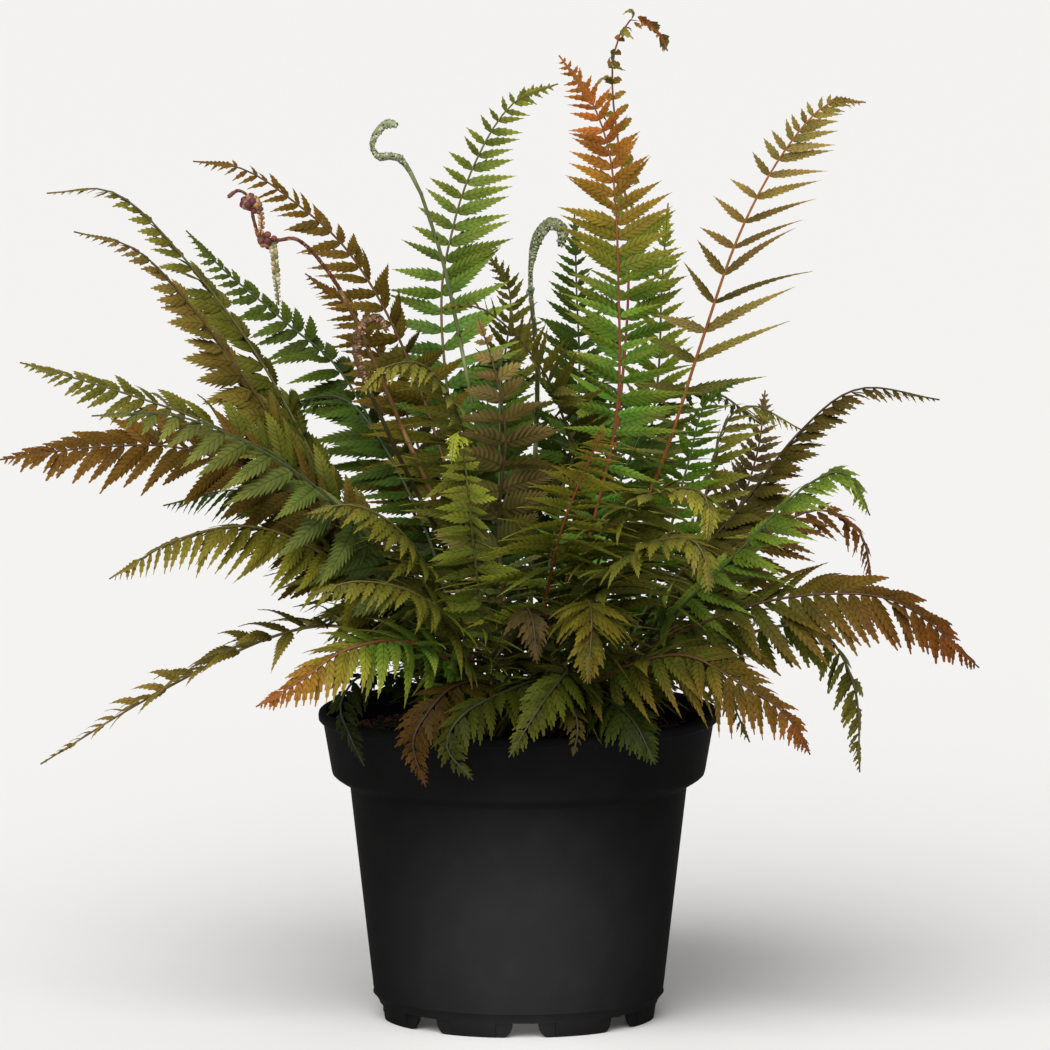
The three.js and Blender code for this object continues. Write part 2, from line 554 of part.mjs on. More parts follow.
// The two skins of a leaflet, fanned from the upper and lower midrib points to its cut edge
function addLeaf(skin, low, high, edge, side) {
  const flip = side < 0;
  const near = side > 0 ? 1 : 3;
  const tip = (edge.length - 1) / 2 + 1;
  const outline = [high[near], ...edge, low[near]];
  for (const [upper, turnOver] of [[0, flip], [2, !flip]]) {
    for (let k = 0; k < outline.length - 1; k++) {
      skin.face(k < tip ? high[upper] : low[upper], outline[k], outline[k + 1], turnOver);
    }
    skin.face(low[upper], high[upper], outline[tip], turnOver);
  }
}

// A small closed piece used to see whether two parts of the plant would cross
function probe(points, faces) {
  const box = new THREE.Box3().setFromPoints(points);
  const triangles = faces.map((face) => face.map((index) => points[index]));
  return { box, triangles };
}

function leafProbe(low, high, edge, side, margin, trim) {
  const near = side > 0 ? 1 : 3;
  const tip = edge[(edge.length - 1) / 2];
  const middlePlace = low.place.clone().add(high.place).add(tip).divideScalar(3);
  const pull = (place) => place.clone().lerp(tip, trim);
  const push = (place) => place.clone().add(place.clone().sub(middlePlace).setLength(margin));
  const a = ringPoints(low, margin).map(pull);
  const b = ringPoints(high, margin).map(pull);
  const points = [a[0], b[0], a[2], b[2], b[near], ...edge.map(push), a[near]];
  const last = points.length - 1;
  const middle = 5 + (edge.length - 1) / 2;
  const faces = [[0, 1, 3], [0, 3, 2], [0, 2, last], [1, 4, 3]];
  for (const [upperLow, upperHigh] of [[0, 1], [2, 3]]) {
    for (let k = 4; k < last; k++) faces.push([k < middle ? upperHigh : upperLow, k, k + 1]);
    faces.push([upperLow, upperHigh, middle]);
  }
  return probe(points, faces);
}

function stemProbe(low, high, margin) {
  const points = [...ringPoints(low, margin), ...ringPoints(high, margin)];
  const faces = [[0, 1, 2], [0, 2, 3], [4, 6, 5], [4, 7, 6]];
  for (let k = 0; k < 4; k++) {
    const next = (k + 1) % 4;
    faces.push([k, k + 4, next + 4], [k, next + 4, next]);
  }
  return probe(points, faces);
}

// Whether the straight line from one point to another passes through a triangle
function lineMeets(from, to, [a, b, c]) {
  const dx = to.x - from.x;
  const dy = to.y - from.y;
  const dz = to.z - from.z;
  const ex = b.x - a.x;
  const ey = b.y - a.y;
  const ez = b.z - a.z;
  const fx = c.x - a.x;
  const fy = c.y - a.y;
  const fz = c.z - a.z;
  const px = dy * fz - dz * fy;
  const py = dz * fx - dx * fz;
  const pz = dx * fy - dy * fx;
  const scale = ex * px + ey * py + ez * pz;
  if (Math.abs(scale) < 1e-9) return false;
  const sx = from.x - a.x;
  const sy = from.y - a.y;
  const sz = from.z - a.z;
  const u = (sx * px + sy * py + sz * pz) / scale;
  if (u < 0 || u > 1) return false;
  const qx = sy * ez - sz * ey;
  const qy = sz * ex - sx * ez;
  const qz = sx * ey - sy * ex;
  const v = (dx * qx + dy * qy + dz * qz) / scale;
  if (v < 0 || u + v > 1) return false;
  const w = (fx * qx + fy * qy + fz * qz) / scale;
  return w >= 0 && w <= 1;
}

function crosses(one, other) {
  for (const [first, second] of [[one, other], [other, one]]) {
    for (const corners of first.triangles) {
      for (let k = 0; k < 3; k++) {
        const from = corners[k];
        const to = corners[(k + 1) % 3];
        for (const triangle of second.triangles) {
          if (lineMeets(from, to, triangle)) return true;
        }
      }
    }
  }
  return false;
}

// All the pieces that already stand, found by the cells of space that they lie in
const cellSize = 16;
const standing = new Map();

function cellsOf(box) {
  const cells = [];
  const low = box.min.clone().divideScalar(cellSize).floor();
  const high = box.max.clone().divideScalar(cellSize).floor();
  for (let x = low.x; x <= high.x; x++) {
    for (let y = low.y; y <= high.y; y++) {
      for (let z = low.z; z <= high.z; z++) cells.push(`${x} ${y} ${z}`);
    }
  }
  return cells;
}

function stand(piece, owner) {
  piece.owner = owner;
  for (const cell of cellsOf(piece.box)) {
    if (!standing.has(cell)) standing.set(cell, []);
    standing.get(cell).push(piece);
  }
}

function isClear(piece, accept) {
  const seen = new Set();
  for (const cell of cellsOf(piece.box)) {
    for (const other of standing.get(cell) ?? []) {
      if (seen.has(other) || !accept(other)) continue;
      seen.add(other);
      if (piece.box.intersectsBox(other.box) && crosses(piece, other)) return false;
    }
  }
  return true;
}

// Whether every edge of a piece stays off the pot, the soil and the crown
function clearsPot(piece) {
  const probePlace = new THREE.Vector3();
  for (const [a, b, c] of piece.triangles) {
    for (const [from, to] of [[a, b], [b, c]]) {
      for (const share of [0, 0.25, 0.5, 0.75]) {
        probePlace.lerpVectors(from, to, share);
        if (probePlace.z > potHeight + 0.8) continue;
        const radius = Math.hypot(probePlace.x, probePlace.y);
        const ground = radius < crownRadius + 3 ? crownHeight(radius) + 1 : soilLevel + 3.5;
        const inside = radius < potInside(probePlace.z) - 1 && probePlace.z > ground;
        if (!inside && radius < potOutside(probePlace.z) + 1) return false;
      }
    }
  }
  return true;
}

// The fold and length that let a leaflet pass clear, or null where none does
function settleLeaf(frond, low, high, side) {
  for (const stretch of lengthSteps) {
    for (const swing of swingSteps) {
      const edge = leafEdge(frond, low, high, side, swing, stretch);
      const whole = leafProbe(low, high, edge, side, leafGap, 0);
      if (!clearsPot(whole) || !isClear(whole, (other) => other.owner !== frond.name)) continue;
      const trimmed = leafProbe(low, high, edge, side, 0, 0.06);
      if (isClear(trimmed, (other) => other.owner === frond.name)) return edge;
    }
  }
  return null;
}

function stemClears(frond, rings) {
  for (let i = 1; i < rings.length - 1; i++) {
    const piece = stemProbe(rings[i], rings[i + 1], leafGap);
    if (i > 2 && !clearsPot(piece)) return false;
    if (!isClear(piece, () => true)) return false;
  }
  return true;
}

function clearShare(frond, layout) {
  let clear = 0;
  const { rings, firstPair } = layout;
  for (let i = firstPair; i < rings.length - 1; i++) {
    for (const side of [1, -1]) {
      const edge = leafEdge(frond, rings[i], rings[i + 1], side, 0, 1);
      const piece = leafProbe(rings[i], rings[i + 1], edge, side, leafGap, 0);
      if (clearsPot(piece) && isClear(piece, () => true)) clear++;
    }
  }
  return clear / (2 * (rings.length - 1 - firstPair));
}

// The smallest bend that lets a frond stand among the others, tried in order of size
const bends = turnSteps.flatMap((turn) => tiltSteps.map((tilt) => ({ turn, tilt })));
const bendSize = ({ turn, tilt }) => Math.hypot(turn * turnWeight, tilt);
bends.sort((a, b) => bendSize(a) - bendSize(b));

function settleFrond(frond, foot) {
  let best = null;
  let tries = 0;
  for (const { turn, tilt } of bends) {
    const layout = layOut(frond, foot, turn, tilt);
    if (!stemClears(frond, layout.rings)) continue;
    const share = clearShare(frond, layout);
    if (!best || share > best.share + 0.04) best = { layout, share };
    tries++;
    if (share > enoughClear || tries >= bendTries) break;
  }
  if (!best) throw new Error(`${frond.name} has no clear way`);
  return best.layout;
}

// The holes that stems stand in, cut from the crown at the end
const holes = [];

function makeFrond(frond, foot) {
  const { rings, tip, firstPair } = settleFrond(frond, foot);
  const skin = new Skin();
  const corners = rings.map((ring) => ringPoints(ring).map((place) => skin.point(place)));
  const end = skin.point(tip);
  const pieces = [];
  const first = corners[0];
  skin.quad(first[0], first[1], first[2], first[3]);
  for (let i = 0; i < rings.length - 1; i++) {
    const low = corners[i];
    const high = corners[i + 1];
    pieces.push(stemProbe(rings[i], rings[i + 1], 0));
    for (const side of [1, -1]) {
      const near = side > 0 ? 1 : 3;
      const edge = i < firstPair ? null : settleLeaf(frond, rings[i], rings[i + 1], side);
      if (edge) {
        addLeaf(skin, low, high, edge.map((place) => skin.point(place)), side);
        stand(leafProbe(rings[i], rings[i + 1], edge, side, 0, 0), frond.name);
      } else {
        skin.quad(low[0], high[0], high[near], low[near], side < 0);
        skin.quad(low[near], high[near], high[2], low[2], side < 0);
      }
    }
  }
  const last = corners[corners.length - 1];
  for (let k = 0; k < 4; k++) skin.face(last[k], end, last[(k + 1) % 4]);
  for (const piece of pieces) stand(piece, frond.name);
  holes.push(stemHole(rings));
  return skin.geometry();
}

// The plain blind hole that a stem stands in
function stemHole(rings) {
  const heading = rings[1].place.clone().sub(rings[0].place).normalize();
  const low = { ...rings[0], place: rings[0].place.clone().addScaledVector(heading, -holeMargin) };
  const high = { ...rings[1], place: rings[1].place.clone().addScaledVector(heading, 5) };
  const skin = new Skin();
  const a = ringPoints(low, holeMargin).map((place) => skin.point(place));
  const b = ringPoints(high, holeMargin).map((place) => skin.point(place));
  skin.quad(...a);
  skin.quad(b[3], b[2], b[1], b[0]);
  for (let k = 0; k < 4; k++) skin.quad(a[k], b[k], b[(k + 1) % 4], a[(k + 1) % 4]);
  return toSolid(skin.geometry());
}

const tubeSideways = new THREE.Vector3(0.06, 1, 0).normalize();

// A round tapering tube along a course, closed by a point at its end
function makeTube(course, stops, radii) {
  const skin = new Skin();
  const start = frameAlong(course, stops[0], tubeSideways, 0);
  const rings = stops.map((distance, index) => {
    const { place, side, face } = frameAlong(course, distance, tubeSideways, 0);
    return Array.from({ length: crozierSides }, (unused, k) => {
      const angle = (k * 2 * Math.PI) / crozierSides;
      return place.clone()
        .addScaledVector(side, radii[index] * Math.cos(angle))
        .addScaledVector(face, radii[index] * Math.sin(angle));
    });
  });
  const corners = rings.map((ring) => ring.map((place) => skin.point(place)));
  const foot = skin.point(start.place);
  const end = skin.point(course.places[course.places.length - 1]);
  const last = corners[corners.length - 1];
  for (let k = 0; k < crozierSides; k++) {
    const next = (k + 1) % crozierSides;
    skin.face(foot, corners[0][next], corners[0][k]);
    skin.face(end, last[k], last[next]);
    for (let i = 0; i < corners.length - 1; i++) {
      skin.quad(corners[i][k], corners[i][next], corners[i + 1][next], corners[i + 1][k]);
    }
  }
  return skin.geometry();
}

// Distances along a crozier: wide steps up the stalk, close ones round the roll
function crozierStops(course, rollFrom) {
  const stops = [-stemDepth];
  for (let i = 0; i < stalkRings; i++) stops.push(3 + (i / stalkRings) * (course.total * rollFrom - 3));
  for (let i = 0; i < rollRings; i++) {
    stops.push(course.total * (rollFrom + (1 - rollFrom) * (i / rollRings) * 0.985));
  }
  return stops;
}

function makeCrozier(crozier, foot) {
  const course = makeCourse(foot, bendWay(crozier.way, foot, 0, 0));
  const stops = crozierStops(course, crozier.rollFrom);
  const [low, high] = crozier.radius;
  const radii = stops.map((distance) => {
    const share = Math.max(0, distance / course.total);
    if (share < crozier.rollFrom) return low;
    const swell = Math.sin(((share - crozier.rollFrom) / (1 - crozier.rollFrom)) * Math.PI);
    return low + (high - low) * swell;
  });
  let solid = toSolid(makeTube(course, stops, radii));
  for (const curl of crozier.curls) {
    const [start, ...rest] = curl.map((point) => new THREE.Vector3(...point));
    const hanging = makeCourse(start, rest);
    const steps = curlShares.map((share) => share * hanging.total);
    solid = solid.add(toSolid(makeTube(hanging, steps, curlRadii)));
  }
  for (let i = 1; i < stops.length - 1; i++) {
    const ends = [stops[i], stops[i + 1]].map((distance) => frameAlong(course, distance, tubeSideways, 0));
    stand(stemProbe({ ...ends[0], half: high }, { ...ends[1], half: high }, 0.6), crozier.name);
  }
  const ends = [stops[0], stops[1]].map((distance) => frameAlong(course, distance, tubeSideways, 0));
  holes.push(stemHole([{ ...ends[0], half: low * 1.3 }, { ...ends[1], half: low * 1.3 }]));
  return toGeometry(solid);
}

function farFrond(index) {
  const azimuth = THREE.MathUtils.degToRad(farStart + index * farStep);
  const reach = farReach[index % 2];
  const height = farHeight[index % 2];
  const at = (share, z) => [reach * share * Math.cos(azimuth), reach * share * Math.sin(azimuth), z];
  return {
    name: `frond_far_${index + 1}`, tone: 'dark', pairs: 12, width: 27, roll: 0, fold: 12, stem: 0.38,
    way: [at(0.42, 0.5 * (crownTop + height) + 6), at(0.8, height), at(1.12, height + 4),
      at(1.4, height - 14)],
  };
}

function named(name, geometry, tone) {
  const material = new THREE.MeshStandardMaterial({
    color: colours[tone],
    roughness: tone === 'pot' ? 0.45 : 0.7,
    metalness: 0,
  });
  const mesh = new THREE.Mesh(geometry, material);
  mesh.name = name;
  return mesh;
}

const plant = new THREE.Group();
plant.add(named('pot', makePot(), 'pot'));
plant.add(named('soil', makeSoil(), 'soil'));
for (const crozier of croziers) {
  plant.add(named(crozier.name, makeCrozier(crozier, takeFoot(crozier.way)), 'curl'));
}
for (let i = 0; i < farFronds; i++) fronds.push(farFrond(i));
for (const frond of fronds) {
  plant.add(named(frond.name, makeFrond(frond, takeFoot(frond.way)), frond.tone));
}
let crown = makeCrown();
for (const hole of holes) crown = crown.subtract(hole);
plant.add(named('crown', toGeometry(crown), 'crown'));

export default plant;
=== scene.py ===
# Autumn fern in a round nursery pot: the fine leaves, croziers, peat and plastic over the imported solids.
# Lengths in the dictionaries are millimetres, in the solids' own frame; meshes are made in metres.
import math
import random

import bmesh
import bpy
import numpy as np
from mathutils import Euler, Matrix, Vector, kdtree, noise


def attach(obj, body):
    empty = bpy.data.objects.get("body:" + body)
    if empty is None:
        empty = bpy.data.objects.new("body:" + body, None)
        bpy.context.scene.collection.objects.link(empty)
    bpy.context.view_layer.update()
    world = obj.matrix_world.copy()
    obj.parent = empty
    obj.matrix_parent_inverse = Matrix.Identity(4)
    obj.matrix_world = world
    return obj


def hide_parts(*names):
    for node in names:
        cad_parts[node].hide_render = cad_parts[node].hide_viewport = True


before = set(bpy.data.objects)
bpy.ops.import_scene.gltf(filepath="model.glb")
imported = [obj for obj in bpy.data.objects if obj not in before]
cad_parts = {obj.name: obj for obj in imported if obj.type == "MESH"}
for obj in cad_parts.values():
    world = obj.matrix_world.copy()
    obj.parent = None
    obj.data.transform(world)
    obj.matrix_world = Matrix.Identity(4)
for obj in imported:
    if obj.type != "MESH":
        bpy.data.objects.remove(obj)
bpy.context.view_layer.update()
mm = 0.001
chance = random.Random(7)


def linear(code):
    channels = [int(code[i:i + 2], 16) / 255 for i in (1, 3, 5)]
    return [c / 12.92 if c <= 0.04045 else ((c + 0.055) / 1.055) ** 2.4 for c in channels]


def colour(code):
    return (*linear(code), 1.0)


def addNode(tree, kind, inputs, **settings):
    node = tree.nodes.new(kind)
    for key, value in settings.items():
        setattr(node, key, value)
    for key, value in inputs.items():
        if isinstance(value, bpy.types.Node):
            value = value.outputs[0]
        if isinstance(value, bpy.types.NodeSocket):
            tree.links.new(value, node.inputs[key])
        else:
            node.inputs[key].default_value = value
    return node


def startMaterial(name, roughness, ior):
    material = bpy.data.materials.new(name)
    material.use_nodes = True
    tree = material.node_tree
    shader = tree.nodes["Principled BSDF"]
    shader.inputs["Roughness"].default_value = roughness
    shader.inputs["IOR"].default_value = ior
    return material, tree, shader


# The scales of all patterns are counts per metre: 900 is one about every 1.1 mm.

# Fern lamina: a living leaf blade under a thin waxy skin. It shines softly, is quilted between its side veins,
# and its underside is paler, with two rows of brown spore dots where the leaf bears them. Blotches are 9 mm and the
# grain 0.7 mm, coarser than the real one, so that it shows. Crease and crest are shares of the leaf's colour that
# paint shade into the creases between the lobes and a painted highlight on their crests; rib is the share for the
# darker midrib line.
laminaLook = {"blotch": 110.0, "grain": 1400.0, "crease": 0.66, "crest": 1.08, "under": "#8c8450", "rib": 0.55,
              "spores": "#5d3b1f"}


def makeLamina():
    look = laminaLook
    material, tree, shader = startMaterial("fernLamina", 0.5, 1.42)
    shader.inputs["Specular IOR Level"].default_value = 0.08  # set in this light; a waxy leaf usually has more
    leaf = addNode(tree, "ShaderNodeAttribute", {}, attribute_name="leafColour")
    bearing = addNode(tree, "ShaderNodeAttribute", {}, attribute_name="sporeDots").outputs["Fac"]
    place = addNode(tree, "ShaderNodeTexCoord", {}).outputs["Object"]
    spot = addNode(tree, "ShaderNodeSeparateXYZ", {0: addNode(tree, "ShaderNodeUVMap", {}, uv_map="leafMap")})
    beneath = addNode(tree, "ShaderNodeMath", {0: spot.outputs[1], 1: 2.0}, operation="GREATER_THAN")
    offset = addNode(tree, "ShaderNodeMath", {0: beneath, 1: -4.0, 2: spot.outputs[1]}, operation="MULTIPLY_ADD")
    across = addNode(tree, "ShaderNodeMath", {0: offset}, operation="ABSOLUTE")
    ridge = addNode(tree, "ShaderNodeMath", {0: spot.outputs[0], 1: 0.5}, operation="PINGPONG")
    # painted shade in the creases between the lobes and a painted highlight on their crests
    quiltShadeAndHighlight = addNode(tree, "ShaderNodeMapRange", {0: ridge, 1: 0.0, 2: 0.28, 3: look["crease"], 4: look["crest"]})
    shaded = addNode(tree, "ShaderNodeHueSaturation", {"Value": quiltShadeAndHighlight, "Color": leaf})
    patches = addNode(tree, "ShaderNodeTexNoise", {"Vector": place, "Scale": look["blotch"], "Detail": 3.0})
    blotch = addNode(tree, "ShaderNodeMapRange", {0: patches, 1: 0.3, 2: 0.7, 3: 0.8, 4: 1.22})
    blotched = addNode(tree, "ShaderNodeHueSaturation", {"Value": blotch, "Color": shaded})
    pallor = addNode(tree, "ShaderNodeMath", {0: beneath, 1: 0.12}, operation="MULTIPLY")
    pale = addNode(tree, "ShaderNodeMix", {0: pallor, 6: blotched, 7: colour(look["under"])},
                   data_type="RGBA").outputs[2]
    line = addNode(tree, "ShaderNodeMapRange", {0: across, 1: 0.03, 2: 0.1, 3: look["rib"], 4: 1.0})
    ribbed = addNode(tree, "ShaderNodeHueSaturation", {"Value": line, "Color": pale})
    inner = addNode(tree, "ShaderNodeMath", {0: across, 1: 0.42}, operation="SUBTRACT")
    aside = addNode(tree, "ShaderNodeMath", {0: inner}, operation="ABSOLUTE")
    inset = addNode(tree, "ShaderNodeMath", {0: ridge, 1: -2.0, 2: 0.95}, operation="MULTIPLY_ADD")
    ahead = addNode(tree, "ShaderNodeMath", {0: inset}, operation="ABSOLUTE")
    off = addNode(tree, "ShaderNodeMath", {0: aside, 1: 3.2, 2: ahead}, operation="MULTIPLY_ADD")
    dot = addNode(tree, "ShaderNodeMath", {0: off, 1: 0.42}, operation="LESS_THAN")
    dots = addNode(tree, "ShaderNodeMath", {0: dot, 1: beneath}, operation="MULTIPLY")
    shown = addNode(tree, "ShaderNodeMath", {0: dots, 1: bearing}, operation="MULTIPLY")
    spotted = addNode(tree, "ShaderNodeMix", {0: shown, 6: ribbed, 7: colour(look["spores"])},
                      data_type="RGBA").outputs[2]
    tree.links.new(spotted, shader.inputs["Base Color"])
    grain = addNode(tree, "ShaderNodeTexNoise", {"Vector": place, "Scale": look["grain"], "Detail": 3.0})
    relief = addNode(tree, "ShaderNodeMath", {0: ridge, 1: 2.4, 2: grain}, operation="MULTIPLY_ADD")
    bump = addNode(tree, "ShaderNodeBump", {"Height": relief, "Strength": 0.35, "Distance": 0.0002})
    tree.links.new(bump.outputs[0], shader.inputs["Normal"])
    return material


# Stalks, scales and peat: the colour of the piece's own attribute, made darker and lighter by a fine noise
def breakColour(tree, shader, look):
    tint = addNode(tree, "ShaderNodeAttribute", {}, attribute_name="leafColour")
    place = addNode(tree, "ShaderNodeTexCoord", {}).outputs["Object"]
    if "drawn" in look:
        place = addNode(tree, "ShaderNodeMapping", {"Vector": place, "Scale": look["drawn"]})
    flecks = addNode(tree, "ShaderNodeTexNoise", {"Vector": place, "Scale": look["flecks"], "Detail": look["detail"]})
    tone = addNode(tree, "ShaderNodeMapRange", {0: flecks, 1: look["span"][0], 2: look["span"][1],
                                                3: look["tones"][0], 4: look["tones"][1]})
    broken = addNode(tree, "ShaderNodeHueSaturation", {"Value": tone, "Color": tint})
    tree.links.new(broken.outputs[0], shader.inputs["Base Color"])
    return tone


# Fern stalk: a living leaf stalk, smooth and grooved; a soft shine and streaks along it, 1.3 mm wide and 11 mm long
stalkLook = {"flecks": 260.0, "detail": 4.0, "drawn": (3.0, 3.0, 0.35), "span": (0.3, 0.7), "tones": (0.7, 1.25)}


def makeStalk():
    material, tree, shader = startMaterial("fernStalk", 0.5, 1.42)
    streak = breakColour(tree, shader, stalkLook)
    bump = addNode(tree, "ShaderNodeBump", {"Height": streak, "Strength": 0.3, "Distance": 0.0003})
    tree.links.new(bump.outputs[0], shader.inputs["Normal"])
    return material


# Papery scales: dry, dead scales on stalks and crown; matt, with a fleck of light and dark in each, 1.1 mm apart
scaleLook = {"flecks": 900.0, "detail": 3.0, "span": (0.35, 0.65), "tones": (0.65, 1.3)}


def makeScale():
    material, tree, shader = startMaterial("paperyScale", 0.8, 1.4)
    breakColour(tree, shader, scaleLook)
    return material


# Black polypropylene: injection moulded; matt, with faint dust in patches of 17 mm and a flow texture of 1.1 mm,
# coarser than the real one, so that it shows. Its gloss was set to the photographed pot in this light and is
# far below the usual 0.5 of such plastic, so other light may call for more.
plasticLook = {"black": "#131313", "dust": "#1a1919", "gloss": 0.01, "clouds": 60.0, "grain": 900.0,
               "roughness": (0.62, 0.74)}


def makePlastic():
    look = plasticLook
    material, tree, shader = startMaterial("mouldedPolypropylene", 0.65, 1.49)
    shader.inputs["Specular IOR Level"].default_value = look["gloss"]
    place = addNode(tree, "ShaderNodeTexCoord", {}).outputs["Object"]
    clouds = addNode(tree, "ShaderNodeTexNoise", {"Vector": place, "Scale": look["clouds"], "Detail": 6.0})
    dust = addNode(tree, "ShaderNodeMapRange", {0: clouds, 1: 0.45, 2: 0.75, 3: 0.0, 4: 0.35})
    dusty = addNode(tree, "ShaderNodeMix", {0: dust, 6: colour(look["black"]), 7: colour(look["dust"])},
                    data_type="RGBA").outputs[2]
    tree.links.new(dusty, shader.inputs["Base Color"])
    grain = addNode(tree, "ShaderNodeTexNoise", {"Vector": place, "Scale": look["grain"], "Detail": 2.0})
    satin = addNode(tree, "ShaderNodeMapRange", {0: grain, 1: 0.3, 2: 0.7, 3: look["roughness"][0],
                                                 4: look["roughness"][1]})
    tree.links.new(satin.outputs[0], shader.inputs["Roughness"])
    bump = addNode(tree, "ShaderNodeBump", {"Height": grain, "Strength": 0.12, "Distance": 0.0002})
    tree.links.new(bump.outputs[0], shader.inputs["Normal"])
    return material


# Damp peat: milled and crumbly; matt, dark red-brown, broken up every 1.4 mm by lighter fibres
peatLook = {"flecks": 700.0, "detail": 5.0, "span": (0.3, 0.7), "tones": (0.45, 1.6)}


def makePeat():
    material, tree, shader = startMaterial("dampPeat", 0.88, 1.36)
    crumb = breakColour(tree, shader, peatLook)
    bump = addNode(tree, "ShaderNodeBump", {"Height": crumb, "Strength": 0.7, "Distance": 0.0012})
    tree.links.new(bump.outputs[0], shader.inputs["Normal"])
    return material


lamina = makeLamina()
stalkSkin = makeStalk()
scaleSkin = makeScale()
plastic = makePlastic()
peat = makePeat()
leafSkins = [lamina, stalkSkin, scaleSkin]  # what fronds and croziers are made of, in the order of the slots
laminaSlot, stalkSlot, scaleSlot = range(3)
print("materials made")

# The colours of a frond: at the blade's foot, middle and end, its leaflets' tips, its midrib and its stalk
lookParts = ("low", "mid", "high", "tip", "rib", "stalk")
looks = {
    "flame": ("#4f8a30", "#5a7f28", "#97551f", "#8c6428", "#874a2c", "#46461c"),
    "amber": ("#4e5b18", "#7b6921", "#9c6d23", "#977425", "#82542a", "#57411e"),
    "russet": ("#424c16", "#604b1c", "#734521", "#7c4e27", "#683c1f", "#4b361a"),
    "copper": ("#424d15", "#66541e", "#84591f", "#7f591f", "#64401e", "#4d3b1a"),
    "bronze": ("#434c16", "#5c501c", "#6f5a28", "#79652f", "#57451e", "#473b18"),
    "spore": ("#576326", "#846532", "#787530", "#977d43", "#9c5e24", "#55451e"),
    "fresh": ("#3f7330", "#567a2f", "#6b6c26", "#847c2b", "#66632a", "#594526"),
    "dusky": ("#41481f", "#5c542d", "#715e34", "#7c653a", "#644b2d", "#4f3f25"),
    "gold": ("#495618", "#6e6f22", "#847426", "#8c792a", "#6d5e2a", "#555221"),
    "olive": ("#3e4b14", "#53571a", "#696224", "#77702a", "#5a5324", "#4a4b1e"),
    "straw": ("#4f6118", "#6f7822", "#8c7429", "#a29a33", "#9c5a2e", "#6b4a24"),
    "lime": ("#445a17", "#606f1f", "#767c23", "#85852a", "#60652a", "#4e5a21"),
    "bright": ("#3a5a17", "#4f771f", "#618023", "#758c2a", "#556f2d", "#475821"),
    "green": ("#314611", "#3f5517", "#505f1f", "#697127", "#465121", "#3f461c"),
    "sage": ("#415428", "#4d5a29", "#5d6029", "#6c6830", "#3f4a28", "#3f461c"),
    "rusty": ("#4a6823", "#616a22", "#8a5120", "#85491f", "#64401e", "#4d3b1a"),
    "dark": ("#25370e", "#2f4313", "#3e4e19", "#4c5b1e", "#354319", "#333b17"),
}
